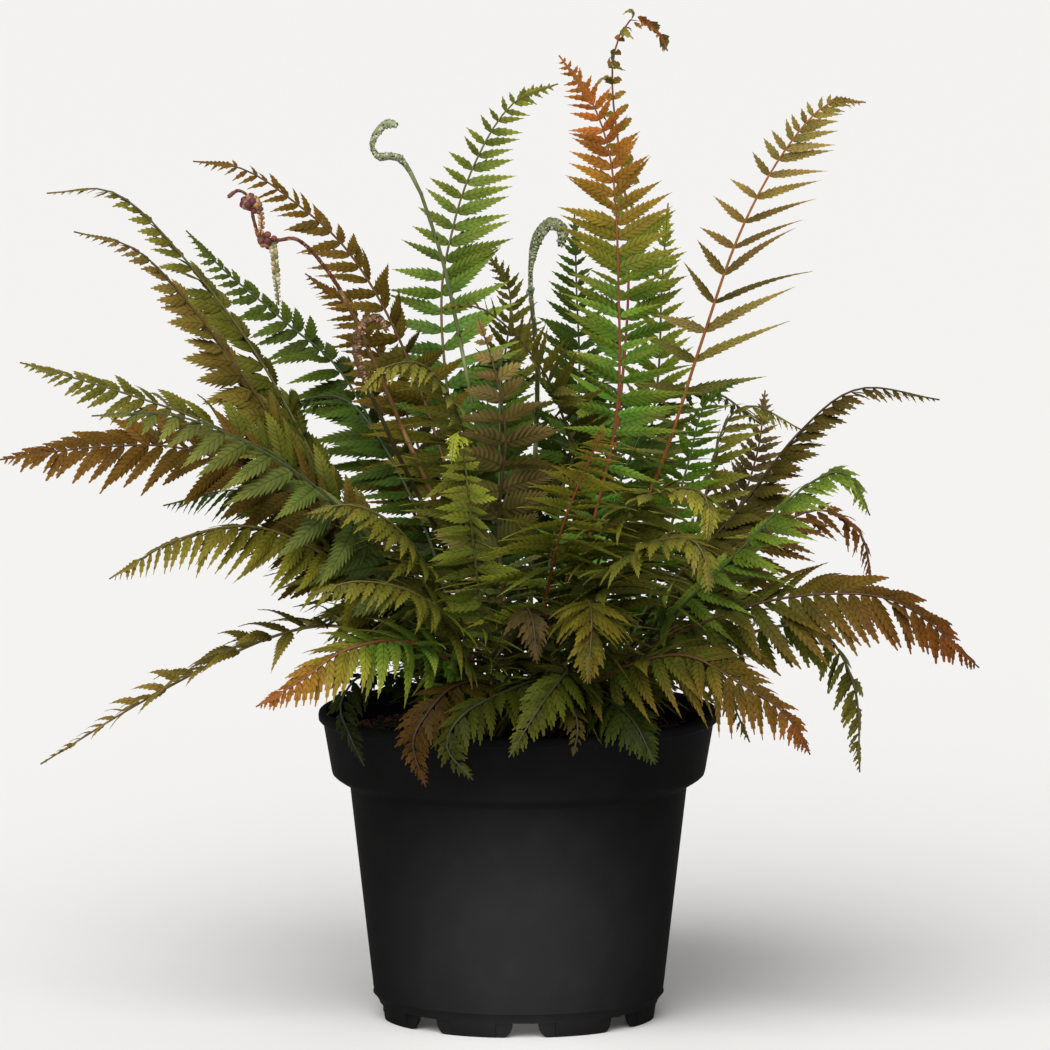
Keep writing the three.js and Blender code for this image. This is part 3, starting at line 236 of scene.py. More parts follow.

# Fronds: the course over the crown, the pairs, width, roll, fold and stem, and the spread, fill, taper and furled end
# where they are given, are the solids' own. The rest is for the eye alone:
#   look gives the colours and shade how light they are, after the photograph in this light: shade is partly the
#   leaves' own tone and partly painted shade and painted light, darker on the fronds that hang in shade at the front
#   over the rim and lighter on those that stand in brighter light; turn gives the shares of the blade where the high
#   colour starts and is full; slim is the taper of the slender leaflets and plump their width; below splitFrom the
#   leaflets stay whole, and broad is their width; point draws leaflets out and cut deepens their lobes; lean and
#   sides hold a number for each side; lace thins out the lowest leaflets; crest counts crumpled end leaflets, and
#   spores turns a dotted back to view.
fronds = [
    {"name": "top_front", "look": "flame", "shade": 1.12, "turn": (0.5, 0.82), "pairs": 18, "width": 43, "roll": 0,
     "fold": 6, "stem": 0.24, "spread": 0, "taper": 2.8, "slim": 2.5, "point": 1.6, "lean": (0.16, 0.16),
     "lace": {"below": 0.56, "length": (0.5, 0.95), "narrow": 0.66},
     "way": [[29, -10, 211], [46, -25, 289], [47, -35, 356], [44, -40, 409], [35, -42, 440], [19, -42, 463]]},
    {"name": "top_right", "look": "spore", "shade": 1.25, "pairs": 15, "width": 34, "roll": 0, "fold": -8,
     "stem": 0.47, "spread": 8, "fill": 0.25, "broad": 1.1, "splitFrom": 0.68, "lean": (-0.25, 0.34),
     "sides": (1.45, 0.88), "spores": 1,
     "way": [[39, 30, 196], [67, 30, 258], [86, 30, 316], [104, 28, 369], [124, 26, 408], [146, 24, 434],
             [165, 24, 435]]},
    {"name": "top_left", "look": "fresh", "shade": 1.06, "pairs": 15, "width": 38, "roll": 0, "fold": 5,
     "stem": 0.3, "spread": 0, "fill": 0.38, "lean": (0.06, 0.36), "sides": (1.2, 0.88),
     "way": [[-23, 60, 211], [-37, 85, 320], [-31, 90, 371], [-17, 92, 408], [-1, 92, 430], [19, 92, 438]]},
    {"name": "left_tall", "look": "olive", "shade": 1.04, "pairs": 16, "width": 38, "roll": 12, "fold": 10,
     "stem": 0.24, "slim": 1.2, "plump": 1.9, "lean": (-0.25, -0.25),
     "way": [[-83, 25, 235], [-122, 45, 307], [-160, 58, 357], [-193, 62, 388], [-226, 62, 388]]},
    {"name": "left_low", "look": "bronze", "shade": 1.36, "pairs": 12, "width": 31, "roll": 2, "fold": -34,
     "stem": 0.3,
     "way": [[-47, -30, 174], [-81, -45, 193], [-118, -55, 189], [-173, -60, 162], [-225, -60, 130]]},
    {"name": "left_front", "look": "copper", "shade": 0.62, "pairs": 17, "width": 38, "roll": 38, "fold": -12,
     "stem": 0.28, "taper": 3.6, "slim": 2.4, "plump": 1.1, "point": 1.0,
     "way": [[-63, -25, 208], [-108, -45, 257], [-154, -60, 279], [-196, -65, 281], [-243, -65, 275]]},
    {"name": "right_big", "look": "rusty", "shade": 0.58, "turn": (0.35, 0.9), "pairs": 17, "width": 39,
     "roll": -34, "fold": 8, "stem": 0.24, "taper": 2.8, "slim": 2.0, "plump": 1.15, "point": 1.0,
     "way": [[48, -40, 174], [99, -60, 202], [141, -70, 212], [180, -75, 208], [216, -75, 178]]},
    {"name": "right_arch", "look": "bronze", "shade": 0.53, "pairs": 15, "width": 31, "roll": -12, "fold": 24,
     "stem": 0.28, "slim": 1.2, "plump": 1.7, "lean": (-0.2, -0.2),
     "way": [[63, 0, 195], [103, -10, 243], [133, -15, 282], [161, -18, 303], [199, -20, 298]]},
    {"name": "top_back", "look": "flame", "pairs": 16, "width": 38, "roll": 0, "fold": 0, "stem": 0.26,
     "spread": -12, "furled": 0.5, "crest": 7,
     "way": [[39, 40, 214], [51, 50, 314], [52, 50, 376], [45, 48, 436], [47, 46, 462], [56, 44, 474],
             [67, 43, 466], [71, 42, 458]]},
    {"name": "left_bronze", "look": "bronze", "shade": 1.12, "pairs": 15, "width": 34, "roll": 26, "fold": 14,
     "stem": 0.28, "slim": 1.3, "plump": 1.9, "lean": (-0.25, -0.25),
     "way": [[-83, 0, 230], [-121, -8, 294], [-152, -10, 338], [-180, -12, 368], [-210, -12, 377]]},
    {"name": "left_pale", "look": "olive", "pairs": 15, "width": 36, "roll": 44, "fold": 0, "stem": 0.3,
     "plump": 1.2, "point": 1.2,
     "way": [[-66, -6, 214], [-103, -35, 267], [-141, -45, 291], [-183, -48, 307], [-229, -48, 321]]},
    {"name": "left_broad", "look": "sage", "shade": 1.21, "pairs": 16, "width": 44, "roll": 32, "fold": 24,
     "stem": 0.28, "broad": 1.15, "splitFrom": 1.0,
     "way": [[-50, -50, 205], [-84, -85, 255], [-120, -100, 284], [-160, -108, 301], [-198, -110, 301]]},
    {"name": "front_rise", "look": "straw", "shade": 0.78, "pairs": 15, "width": 50, "roll": 0, "fold": 14,
     "stem": 0.26, "spread": 0, "cut": 0.42,
     "way": [[13, -45, 206], [20, -85, 244], [29, -115, 272], [36, -140, 291], [39, -155, 302]]},
    {"name": "upper_left", "look": "amber", "shade": 0.5, "pairs": 16, "width": 38, "roll": 34, "fold": 4,
     "stem": 0.3, "fill": 0.34, "slim": 1.4,
     "way": [[-28, 30, 234], [-52, 50, 307], [-80, 60, 358], [-112, 65, 387], [-134, 66, 400], [-156, 66, 403]]},
    {"name": "left_arch", "look": "gold", "shade": 0.79, "pairs": 15, "width": 37, "roll": 26, "fold": 22,
     "stem": 0.26, "plump": 1.2,
     "way": [[-54, -40, 201], [-88, -75, 230], [-123, -85, 246], [-158, -90, 241], [-191, -90, 222]]},
    {"name": "right_low", "look": "rusty", "shade": 0.72, "turn": (0.5, 0.95), "pairs": 14, "width": 38,
     "roll": -28, "fold": 8, "stem": 0.2, "plump": 1.25, "point": 1.45,
     "way": [[38, -70, 172], [75, -95, 187], [103, -105, 175], [124, -108, 161], [136, -110, 142]]},
    {"name": "front_left", "look": "flame", "shade": 1.0, "turn": (0.5, 0.9), "pairs": 14, "width": 34, "roll": 24,
     "fold": 8, "stem": 0.2, "plump": 1.35, "point": 1.45,
     "way": [[-32, -60, 178], [-55, -90, 193], [-81, -110, 191], [-101, -118, 178], [-122, -120, 166]]},
    {"name": "centre_nod", "look": "gold", "shade": 0.45, "pairs": 12, "width": 32, "roll": 0, "fold": 14,
     "stem": 0.36, "plump": 1.5, "point": 1.45,
     "way": [[20, -60, 189], [31, -100, 213], [34, -130, 208], [32, -142, 180]]},
    {"name": "right_nod", "look": "olive", "shade": 1.5, "pairs": 13, "width": 36, "roll": 0, "fold": 8,
     "stem": 0.34, "plump": 1.35, "point": 1.45,
     "way": [[38, -50, 226], [57, -100, 260], [80, -125, 269], [88, -134, 262], [87, -138, 245]]},
    {"name": "right_nod_low", "look": "olive", "pairs": 13, "width": 36, "roll": 0, "fold": 8, "stem": 0.34,
     "plump": 1.35, "point": 1.45,
     "way": [[38, -70, 209], [56, -115, 239], [77, -140, 248], [86, -148, 240], [88, -152, 223]]},
    {"name": "right_hang", "look": "olive", "shade": 0.98, "pairs": 12, "width": 19, "roll": -30, "fold": 14,
     "stem": 0.46, "plump": 1.35, "point": 1.0, "cut": 0.4,
     "way": [[48, -10, 163], [102, -15, 184], [140, -18, 189], [159, -20, 162], [162, -20, 120]]},
    {"name": "right_thin", "look": "russet", "pairs": 13, "width": 26, "roll": -34, "fold": 10, "stem": 0.34,
     "fill": 0.4, "plump": 1.2, "point": 1.45, "cut": 0.4,
     "way": [[63, 20, 172], [106, 30, 215], [139, 35, 238], [163, 36, 228], [170, 36, 198]]},
    {"name": "upper_arch", "look": "gold", "shade": 0.58, "pairs": 14, "width": 30, "roll": 10, "fold": 34,
     "stem": 0.34, "spread": 70,
     "way": [[27, 10, 246], [20, -20, 293], [5, -45, 324], [-18, -60, 346], [-40, -68, 345]]},
    {"name": "left_far", "look": "green", "shade": 0.85, "pairs": 15, "width": 40, "roll": 30, "fold": 10,
     "stem": 0.3, "slim": 1.25, "plump": 1.3,
     "way": [[-45, 60, 221], [-82, 98, 292], [-113, 108, 321], [-142, 113, 345], [-161, 113, 365]]},
    {"name": "centre_tall", "look": "dusky", "shade": 1.6, "pairs": 11, "width": 36, "roll": 0, "fold": 0,
     "stem": 0.36, "spread": 12, "broad": 1.5, "splitFrom": 1.0,
     "way": [[-9, -35, 236], [-6, -66, 285], [-11, -88, 320], [-19, -100, 346]]},
    {"name": "centre_left", "look": "olive", "shade": 1.35, "pairs": 13, "width": 36, "roll": 8, "fold": 20,
     "stem": 0.34,
     "way": [[-18, -20, 231], [-25, -55, 288], [-41, -80, 320], [-60, -95, 322], [-72, -98, 309]]},
    {"name": "front_curl", "look": "lime", "shade": 1.4, "pairs": 12, "width": 24, "roll": 0, "fold": 26,
     "stem": 0.32, "plump": 1.3,
     "way": [[-18, -60, 208], [-23, -95, 260], [-26, -110, 290], [-29, -120, 293], [-31, -126, 280]]},
    {"name": "front_drop", "look": "copper", "shade": 0.26, "pairs": 10, "width": 23, "roll": 16, "fold": 14,
     "stem": 0.28, "plump": 1.45, "point": 1.45, "cut": 0.34,
     "way": [[-13, -60, 167], [-30, -95, 172], [-43, -112, 161], [-49, -118, 148], [-43, -118, 128]]},
    {"name": "front_hook", "look": "lime", "shade": 0.19, "pairs": 11, "width": 26, "roll": 0, "fold": 14,
     "stem": 0.28, "plump": 1.5, "point": 1.45,
     "way": [[20, -65, 166], [10, -104, 166], [-8, -128, 156], [-15, -134, 141], [-2, -136, 126]]},
    {"name": "front_pale", "look": "lime", "shade": 0.3, "pairs": 10, "width": 24, "roll": 14, "fold": 10,
     "stem": 0.28, "plump": 1.5, "point": 1.45,
     "way": [[5, -58, 172], [-2, -92, 180], [-22, -114, 168], [-40, -122, 146]]},
    {"name": "front_tuft", "look": "green", "shade": 0.27, "pairs": 9, "width": 24, "roll": -14, "fold": 12,
     "stem": 0.28, "plump": 1.5, "point": 1.45,
     "way": [[25, -64, 168], [34, -98, 166], [42, -116, 148]]},
    {"name": "left_mid", "look": "olive", "pairs": 13, "width": 32, "roll": 20, "fold": 18, "stem": 0.3,
     "plump": 1.25,
     "way": [[-37, -50, 207], [-58, -85, 244], [-81, -97, 258], [-104, -100, 254]]},
    {"name": "left_inner", "look": "olive", "pairs": 13, "width": 34, "roll": 14, "fold": 16, "stem": 0.3,
     "plump": 1.25,
     "way": [[-32, -65, 194], [-50, -98, 216], [-76, -112, 224], [-100, -114, 218]]},
    {"name": "left_back", "look": "dark", "shade": 0.68, "pairs": 13, "width": 38, "roll": 16, "fold": 20,
     "stem": 0.28,
     "way": [[-57, 60, 192], [-96, 80, 228], [-135, 90, 241], [-172, 95, 233]]},
    {"name": "right_green", "look": "green", "shade": 1.49, "pairs": 15, "width": 36, "roll": -26, "fold": 12,
     "stem": 0.28, "plump": 1.2,
     "way": [[62, -30, 185], [100, -50, 226], [132, -55, 259], [153, -58, 268], [165, -60, 248]]},
    {"name": "right_back", "look": "olive", "shade": 1.4, "pairs": 13, "width": 32, "roll": -14, "fold": 24,
     "stem": 0.3,
     "way": [[63, 40, 172], [87, 50, 235], [98, 55, 275], [112, 58, 286], [136, 60, 274]]},
    {"name": "right_upright", "look": "dusky", "pairs": 13, "width": 34, "roll": -40, "fold": 4, "stem": 0.3,
     "way": [[68, 60, 182], [102, 80, 226], [115, 85, 259], [119, 88, 290]]},
    {"name": "right_inner", "look": "bright", "shade": 0.85, "pairs": 12, "width": 27, "roll": 0, "fold": 8,
     "stem": 0.3, "spread": 20,
     "way": [[58, 20, 187], [80, 8, 262], [88, 2, 292], [104, -4, 306]]},
    {"name": "back_right", "look": "lime", "shade": 1.3, "pairs": 14, "width": 30, "roll": 0, "fold": 6,
     "stem": 0.28, "spread": 4,
     "way": [[50, 66, 211], [66, 80, 287], [69, 84, 340], [72, 86, 381]]},
    {"name": "back_centre", "look": "dark", "pairs": 14, "width": 30, "roll": 0, "fold": 6, "stem": 0.28,
     "spread": 0, "sides": (1, 1.4),
     "way": [[20, 80, 208], [29, 98, 284], [28, 104, 338], [27, 106, 374]]},
    {"name": "back_left", "look": "olive", "shade": 0.9, "pairs": 13, "width": 32, "roll": 0, "fold": 8,
     "stem": 0.28, "spread": 0, "sides": (1.4, 1),
     "way": [[-12, 84, 208], [-9, 110, 284], [-4, 118, 332], [-16, 122, 354]]},
    {"name": "back_bronze", "look": "amber", "shade": 0.53, "pairs": 14, "width": 36, "roll": 24, "fold": 6,
     "stem": 0.3,
     "way": [[-31, 50, 212], [-50, 78, 280], [-74, 92, 328], [-98, 98, 349]]},
    {"name": "brim_right", "look": "gold", "shade": 0.42, "pairs": 9, "width": 19, "roll": -12, "fold": 12,
     "stem": 0.3, "plump": 1.4, "point": 1.45, "cut": 0.36,
     "way": [[40, -52, 168], [62, -70, 184], [76, -82, 169], [88, -88, 141]]},
    {"name": "brim_left", "look": "green", "shade": 0.14, "pairs": 8, "width": 17, "roll": 14, "fold": 12,
     "stem": 0.32, "plump": 1.5, "point": 1.45,
     "way": [[-46, -46, 166], [-68, -62, 175], [-80, -72, 162], [-75, -76, 146], [-69, -77, 133]]},
    {"name": "centre_small", "look": "dusky", "shade": 0.42, "pairs": 8, "width": 20, "roll": 0, "fold": 18,
     "stem": 0.4, "plump": 1.4, "point": 1.45,
     "way": [[3, -48, 186], [5, -80, 204], [9, -104, 200], [11, -110, 181]]},
    {"name": "brim_small", "look": "gold", "shade": 0.24, "pairs": 7, "width": 16, "roll": 0, "fold": 14,
     "stem": 0.32, "plump": 1.4, "point": 1.45,
     "way": [[29, -56, 163], [43, -88, 178], [49, -99, 171], [48, -103, 158]]},
]


# Fronds on the far side: a fan of arches, high and low in turn. Each step is a share of the reach, a share of the
# way up from the crown to the full height, and a rise on top of that.
farFan = {"count": 7, "start": 28, "step": 21, "reach": [104, 132], "height": [286, 222], "crown": 139.5,
          "steps": [(0.42, 0.5, 6), (0.8, 1, 0), (1.12, 1, 4), (1.4, 1, -14)]}
for index in range(farFan["count"]):
    azimuth = math.radians(farFan["start"] + index * farFan["step"])
    reach, height = farFan["reach"][index % 2], farFan["height"][index % 2]
    way = [[reach * out * math.cos(azimuth), reach * out * math.sin(azimuth),
            farFan["crown"] + (height - farFan["crown"]) * up + rise] for out, up, rise in farFan["steps"]]
    fronds.append({"name": f"far_{index + 1}", "look": "dark", "shade": 1.18, "pairs": 12, "width": 27, "roll": 0,
                   "fold": 12, "stem": 0.38, "way": way})

# Young fronds still rolled up, and the curls that hang from them
croziers = [
    {"name": "pale", "rollFrom": 0.86, "curls": [],
     "way": [[-9, 46, 212], [-32, 58, 337], [-44, 60, 380], [-50, 60, 395], [-56, 60, 404], [-61, 60, 406],
             [-67, 59, 406], [-70, 59, 411], [-68, 58, 417], [-63, 58, 422], [-58, 58, 421]]},
    {"name": "red", "rollFrom": 0.72,
     "way": [[-30, 22, 216], [-57, 30, 282], [-80, 32, 335], [-94, 30, 358], [-105, 28, 369], [-114, 27, 369],
             [-122, 26, 368], [-126, 25, 379], [-128, 25, 389], [-133, 24, 393], [-138, 24, 390]],
     "curls": [[[-117, 27, 369], [-116, 21, 361], [-115, 18, 350], [-114, 16, 339]],
               [[-128, 25, 391], [-124, 22, 387], [-122, 20, 378], [-123, 20, 371]]]},
    {"name": "scaly", "rollFrom": 0.8, "curls": [],
     "way": [[6, 18, 216], [9, 0, 305], [6, -8, 345], [6, -10, 361], [9, -12, 374], [15, -14, 381], [21, -15, 378],
             [20, -15, 371]]},
    {"name": "brown", "rollFrom": 0.8, "curls": [],
     "way": [[-25, -14, 203], [-56, -26, 271], [-74, -30, 313], [-76, -30, 326], [-73, -30, 335], [-66, -30, 338],
             [-62, -30, 332]]},
]

# How a frond is laid out along its course: these are the solids' own rules. Turns, tilts, swings and lengths are the
# bends and shares that a frond or a leaflet may have taken, and near is how close its tip must then be.
layout = {"stemDepth": 6, "stemHalf": 1.35, "rachisHalf": 1, "tipHalf": 0.45, "sweep": 22, "tipSweep": 46,
          "sag": 0.16, "curl": 0.1, "fill": 0.46, "furled": 0.5, "taper": 1.7, "lowestPair": 0.8, "widestPair": 0.2,
          "crowding": 1.35,
          "turns": [0, 1.2, -1.2, 2.5, -2.5, 4, -4, 6, -6, 9, -9, 13, -13, 18, -18, 24, -24],
          "tilts": [0, 1, -1, 2, -2, 3.5, -3.5, 6, -6, 9, -9, 13, 18],
          "swings": [0, 12, -12, 24, -24, 38, -38, 54, -54], "lengths": [1, 0.82, 0.64, 0.46, 0.3],
          "near": 0.05}
# The crown's own section, the places of the stems' feet on it, and the pot's rim as it bounds the low leaflets
crownShape = {"radius": 44, "top": 139.5, "edge": 135, "flat": 39.5, "foot": 124.3, "spread": 38, "places": 62,
              "wish": 0.55, "rim": 147.6, "inside": 91.6}


def crownHeight(radius):
    share = max(0.0, (radius - crownShape["flat"]) / (crownShape["radius"] - crownShape["flat"]))
    return crownShape["top"] - (crownShape["top"] - crownShape["edge"]) * min(1.0, share)


goldenAngle = math.pi * (3 - math.sqrt(5))
freePlaces = [np.array([math.cos(i * goldenAngle), math.sin(i * goldenAngle)]) * crownShape["spread"]
              * math.sqrt((i + 0.5) / crownShape["places"]) for i in range(crownShape["places"])]


def takeFoot(way):
    lean = np.array(way[0][:2], float)
    wished = lean * min(crownShape["wish"], crownShape["spread"] / max(np.linalg.norm(lean), 1))
    best = min(range(len(freePlaces)), key=lambda i: np.linalg.norm(freePlaces[i] - wished))
    place = freePlaces.pop(best)
    return np.array([place[0], place[1], crownHeight(np.linalg.norm(place))])


def unit(vector):
    return vector / np.linalg.norm(vector, axis=-1, keepdims=True)


def spun(points, axis, degrees):
    turned = Matrix.Rotation(math.radians(degrees), 3, Vector(axis))
    return np.asarray(points) @ np.array(turned).T


def bendWay(way, foot, turn, tilt):
    way = np.array(way, float)
    outward = way[-1] - foot
    axis = unit(np.array([outward[1], -outward[0], 0.0]))
    return spun(spun(way - foot, axis, tilt), (0, 0, 1), turn) + foot


def makeCourse(foot, way, steps=120):
    points = np.vstack([foot, way])
    points = np.vstack([2 * points[0] - points[1], points, 2 * points[-1] - points[-2]])
    places = []
    for step in range(steps + 1):
        at = (len(points) - 3) * step / steps
        k = min(int(at), len(points) - 4)
        t = at - k
        p0, p1, p2, p3 = points[k:k + 4]
        m1, m2 = (p2 - p0) / 2, (p3 - p1) / 2
        places.append(p1 + m1 * t + (3 * (p2 - p1) - 2 * m1 - m2) * t * t + (2 * (p1 - p2) + m1 + m2) * t ** 3)
    places = np.array(places)
    lengths = np.concatenate([[0], np.cumsum(np.linalg.norm(np.diff(places, axis=0), axis=1))])
    return {"places": places, "lengths": lengths, "total": lengths[-1]}


def along(course, distance):
    k = int(min(max(np.searchsorted(course["lengths"], distance), 1), len(course["lengths"]) - 1))
    places = course["places"]
    heading = unit(places[k] - places[k - 1])
    ahead = unit(places[min(len(places) - 1, k + 1)] - places[max(0, k - 2)])
    return places[k - 1] + heading * (distance - course["lengths"][k - 1]), ahead


def frameAt(course, distance, sideways):
    place, heading = along(course, distance)
    side = unit(sideways - heading * (sideways @ heading))
    return place, heading, side, np.cross(heading, side)


def layOut(frond, foot, turn, tilt):
    course = makeCourse(foot, bendWay(frond["way"], foot, turn, tilt))
    last = np.array(frond["way"][-1], float)
    azimuth = math.atan2(last[1] - foot[1], last[0] - foot[0]) + math.radians(turn)
    spread = azimuth + math.pi / 2 if frond.get("spread") is None else math.radians(frond["spread"])
    sideways = np.array([math.cos(spread), math.sin(spread), 0.0])
    bare = course["total"] * frond["stem"]
    blade = course["total"] - bare
    pairs = frond["pairs"]
    stops = [bare + blade * (1 - (1 - i / (pairs + 0.6)) ** layout["crowding"]) for i in range(pairs + 1)]
    rings = []
    roll = math.radians(frond["roll"])
    for distance in stops:
        place, heading, side, face = frameAt(course, distance, sideways)
        rings.append((place, heading, side * math.cos(roll) - face * math.sin(roll),
                      face * math.cos(roll) + side * math.sin(roll), max(0.0, (distance - bare) / blade)))
    return course, rings, bare


def leafletFrame(frond, low, high, side, swing, stretch):
    share = (low[4] + high[4]) / 2
    heading, face = unit(low[1] + high[1]), unit(low[3] + high[3])
    lateral = np.cross(heading, face) * -side
    fold = math.radians(frond["fold"] + swing)
    sweep = math.radians(layout["sweep"] + (layout["tipSweep"] - layout["sweep"]) * share)
    outward = lateral * math.cos(fold) - face * math.sin(fold)
    axis = outward * math.cos(sweep) + heading * math.sin(sweep)
    full = (1 - share ** frond.get("taper", layout["taper"])) \
        * (layout["lowestPair"] + (1 - layout["lowestPair"]) * min(1, share / layout["widestPair"]))
    furl = layout["furled"] if share > frond.get("furled", 1) else 1
    length = frond["width"] * full * furl * stretch
    droop = face * -layout["sag"] + heading * layout["curl"]
    tipward = axis + droop
    beside = unit(heading - tipward * ((heading @ tipward) / (tipward @ tipward)))
    half = min(frond.get("fill", layout["fill"]) * ((high[0] - low[0]) @ beside), 0.24 * length)
    room = np.linalg.norm(high[0] - low[0])
    return {"root": (low[0] + high[0]) / 2, "axis": axis, "face": face, "heading": heading, "droop": droop,
            "length": length, "half": half, "share": share, "side": side, "furl": furl < 1, "room": room,
            "step": high[4] - low[4]}


def solidCorners(name):
    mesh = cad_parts[name].data
    corners = np.zeros(len(mesh.vertices) * 3, np.float32)
    mesh.vertices.foreach_get("co", corners)
    corners = np.unique(np.round(corners.reshape(-1, 3) / mm, 4), axis=0)
    tree = kdtree.KDTree(len(corners))
    for index, corner in enumerate(corners):
        tree.insert(corner, index)
    tree.balance()
    return tree


# The bend that a solid took shows in where its tip is, and each leaflet's fold and length in where its own tip is:
# of all that the solids' rules allow, the one that ends nearest a corner of the solid is taken
def readFrond(frond, foot):
    tree = solidCorners("frond_" + frond["name"])
    best = (1e9, 0, 0)
    for turn in layout["turns"]:
        for tilt in layout["tilts"]:
            tip = bendWay(frond["way"], foot, turn, tilt)[-1]
            best = min(best, (tree.find(tip)[2], turn, tilt))
    course, rings, bare = layOut(frond, foot, best[1], best[2])
    leaves = []
    for low, high in zip(rings, rings[1:]):
        for side in (1, -1):
            found = (1e9, None)
            for stretch in layout["lengths"]:
                for swing in layout["swings"]:
                    leaf = leafletFrame(frond, low, high, side, swing, stretch)
                    tip = leaf["root"] + (leaf["axis"] + leaf["droop"]) * leaf["length"]
                    gap = tree.find(tip)[2]
                    if gap < found[0]:
                        found = (gap, leaf)
            if found[0] < layout["near"]:
                leaves.append(found[1])
    return course, rings, bare, leaves, best[0]


# A batch gathers bent copies of small forms into one mesh, with a colour and a leaf map for each copy.
# A copy's slot is the place of its material in the piece's list; rims are the corners whose edges stay sharp.
def startBatch():
    return {"spots": [], "corners": [], "sizes": [], "slots": [], "maps": [], "colours": [], "rims": [], "count": 0}


def readForm(form):
    bmesh.ops.recalc_face_normals(form, faces=form.faces)
    form.verts.index_update()
    faces = [[vert.index for vert in face.verts] for face in form.faces]
    shape = {"spots": np.array([vert.co[:] for vert in form.verts]), "corners": np.concatenate(faces),
             "sizes": np.array([len(face) for face in faces])}
    form.free()
    return shape


def addCopy(batch, shape, spots, colours, slot, maps=None, rims=None):
    batch["spots"].append(spots)
    batch["corners"].append(shape["corners"] + batch["count"])
    batch["sizes"].append(shape["sizes"])
    batch["slots"].append(np.full(len(shape["sizes"]), slot))
    batch["maps"].append(np.zeros((len(shape["corners"]), 2)) if maps is None else maps)
    batch["colours"].append(np.broadcast_to(colours, (len(spots), 3)))
    batch["rims"].append(np.zeros(len(spots), bool) if rims is None else rims)
    batch["count"] += len(spots)


def addObject(name, data):
    piece = bpy.data.objects.new(name, data)
    bpy.context.scene.collection.objects.link(piece)
    return piece


trianglesAdded = []


def finishPiece(name, batch, materials, node, spores=0.0):
    mesh = bpy.data.meshes.new(name)
    sizes, corners = np.concatenate(batch["sizes"]), np.concatenate(batch["corners"])
    trianglesAdded.append(int((sizes - 2).sum()))
    mesh.vertices.add(batch["count"])
    mesh.vertices.foreach_set("co", (np.concatenate(batch["spots"]) * mm).astype(np.float32).ravel())
    mesh.loops.add(len(corners))
    mesh.loops.foreach_set("vertex_index", corners.astype(np.int32))
    mesh.polygons.add(len(sizes))
    mesh.polygons.foreach_set("loop_start", (np.cumsum(sizes) - sizes).astype(np.int32))
    mesh.polygons.foreach_set("material_index", np.concatenate(batch["slots"]).astype(np.int32))
    mesh.update(calc_edges=True)
    mesh.validate()
    mesh.shade_smooth()
    rims = np.concatenate(batch["rims"])
    ends = np.zeros(len(mesh.edges) * 2, np.int32)
    mesh.edges.foreach_get("vertices", ends)
    sharp = mesh.attributes.new("sharp_edge", "BOOLEAN", "EDGE")
    sharp.data.foreach_set("value", rims[ends.reshape(-1, 2)].all(axis=1))
    leafMap = mesh.uv_layers.new(name="leafMap")
    leafMap.data.foreach_set("uv", np.concatenate(batch["maps"]).astype(np.float32).ravel())
    tint = np.ones((batch["count"], 4), np.float32)
    tint[:, :3] = np.clip(np.concatenate(batch["colours"]), 0, 1)
    mesh.attributes.new("leafColour", "FLOAT_COLOR", "POINT").data.foreach_set("color", tint.ravel())
    dots = mesh.attributes.new("sporeDots", "FLOAT", "POINT")
    dots.data.foreach_set("value", np.full(batch["count"], spores, np.float32))
    for material in materials:
        mesh.materials.append(material)
    piece = addObject(name, mesh)
    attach(piece, "root")
    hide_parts(node)


# Pinna form: a grid doubled into a thin closed leaf, every second cross row a crease between two lobes
pinnaForms = {}


def makePinna(lobes, rows=4):
    if (lobes, rows) in pinnaForms:
        return pinnaForms[lobes, rows]
    form = bmesh.new()
    bmesh.ops.create_grid(form, x_segments=2 * lobes, y_segments=rows, size=1)
    doubled = bmesh.ops.duplicate(form, geom=form.verts[:] + form.edges[:] + form.faces[:])["geom"]
    beneath = [part for part in doubled if isinstance(part, bmesh.types.BMVert) and not part.is_boundary]
    bmesh.ops.translate(form, verts=beneath, vec=(0, 0, -1))
    bmesh.ops.remove_doubles(form, verts=form.verts, dist=1e-4)
    tip = [vert for vert in form.verts if vert.co.x > 0.9999]
    bmesh.ops.pointmerge(form, verts=tip, merge_co=(1, 0, 0))
    shape = readForm(form)
    spots = shape["spots"]
    shape["u"], shape["v"], shape["under"] = (spots[:, 0] + 1) / 2, spots[:, 1], spots[:, 2] < -0.5
    shape["rim"] = ~shape["under"] & ((np.abs(shape["v"]) > 0.99) | (shape["u"] < 0.001) | (shape["u"] > 0.999))
    column = np.round(shape["u"] * 2 * lobes).astype(int)
    shape["ridge"] = np.where(column % 2 == 1, 1.0, 0.0)
    corners, sizes = shape["corners"], shape["sizes"]
    below = np.repeat(np.logical_or.reduceat(shape["under"][corners], np.cumsum(sizes) - sizes), sizes)
    shape["maps"] = np.stack([shape["u"][corners] * lobes, shape["v"][corners] + 4 * below], axis=1)
    pinnaForms[lobes, rows] = shape
    return shape


# A pinna's own shape. Lobe length, thickness and fine, the length from which it gets more rows, are millimetres.
# Twist, swing and sweep are degrees of chance; slant, tooth, ridge, crease, camber and rib are shares of its half
# width, and hook, hang and widest of its length. How light it is at its foot and at its tip is painted: painted
# shade at the foot by the rachis, painted light towards the tip.
pinna = {"lobeLength": 2.9, "broad": 1.0, "cut": 0.3, "slant": 0.75, "tooth": 0.55, "ridge": 0.13, "crease": 0.09,
         "camber": 0.25, "rib": 0.06, "thick": 0.26, "twist": 12, "swing": 7, "sweep": 5, "wild": 2.2, "hook": 0.04,
         "hang": 0.15, "lean": 0.06, "point": 1.5, "furlCurl": 2.6,
         "belly": 1.45, "heel": 0.55, "heelRise": 3.5, "widest": 0.3, "lengths": (0.94, 1.1), "widths": (0.93, 1.08),
         "paintedFootShade": 0.74, "paintedTipLight": 1.38, "fine": 24, "most": 13}


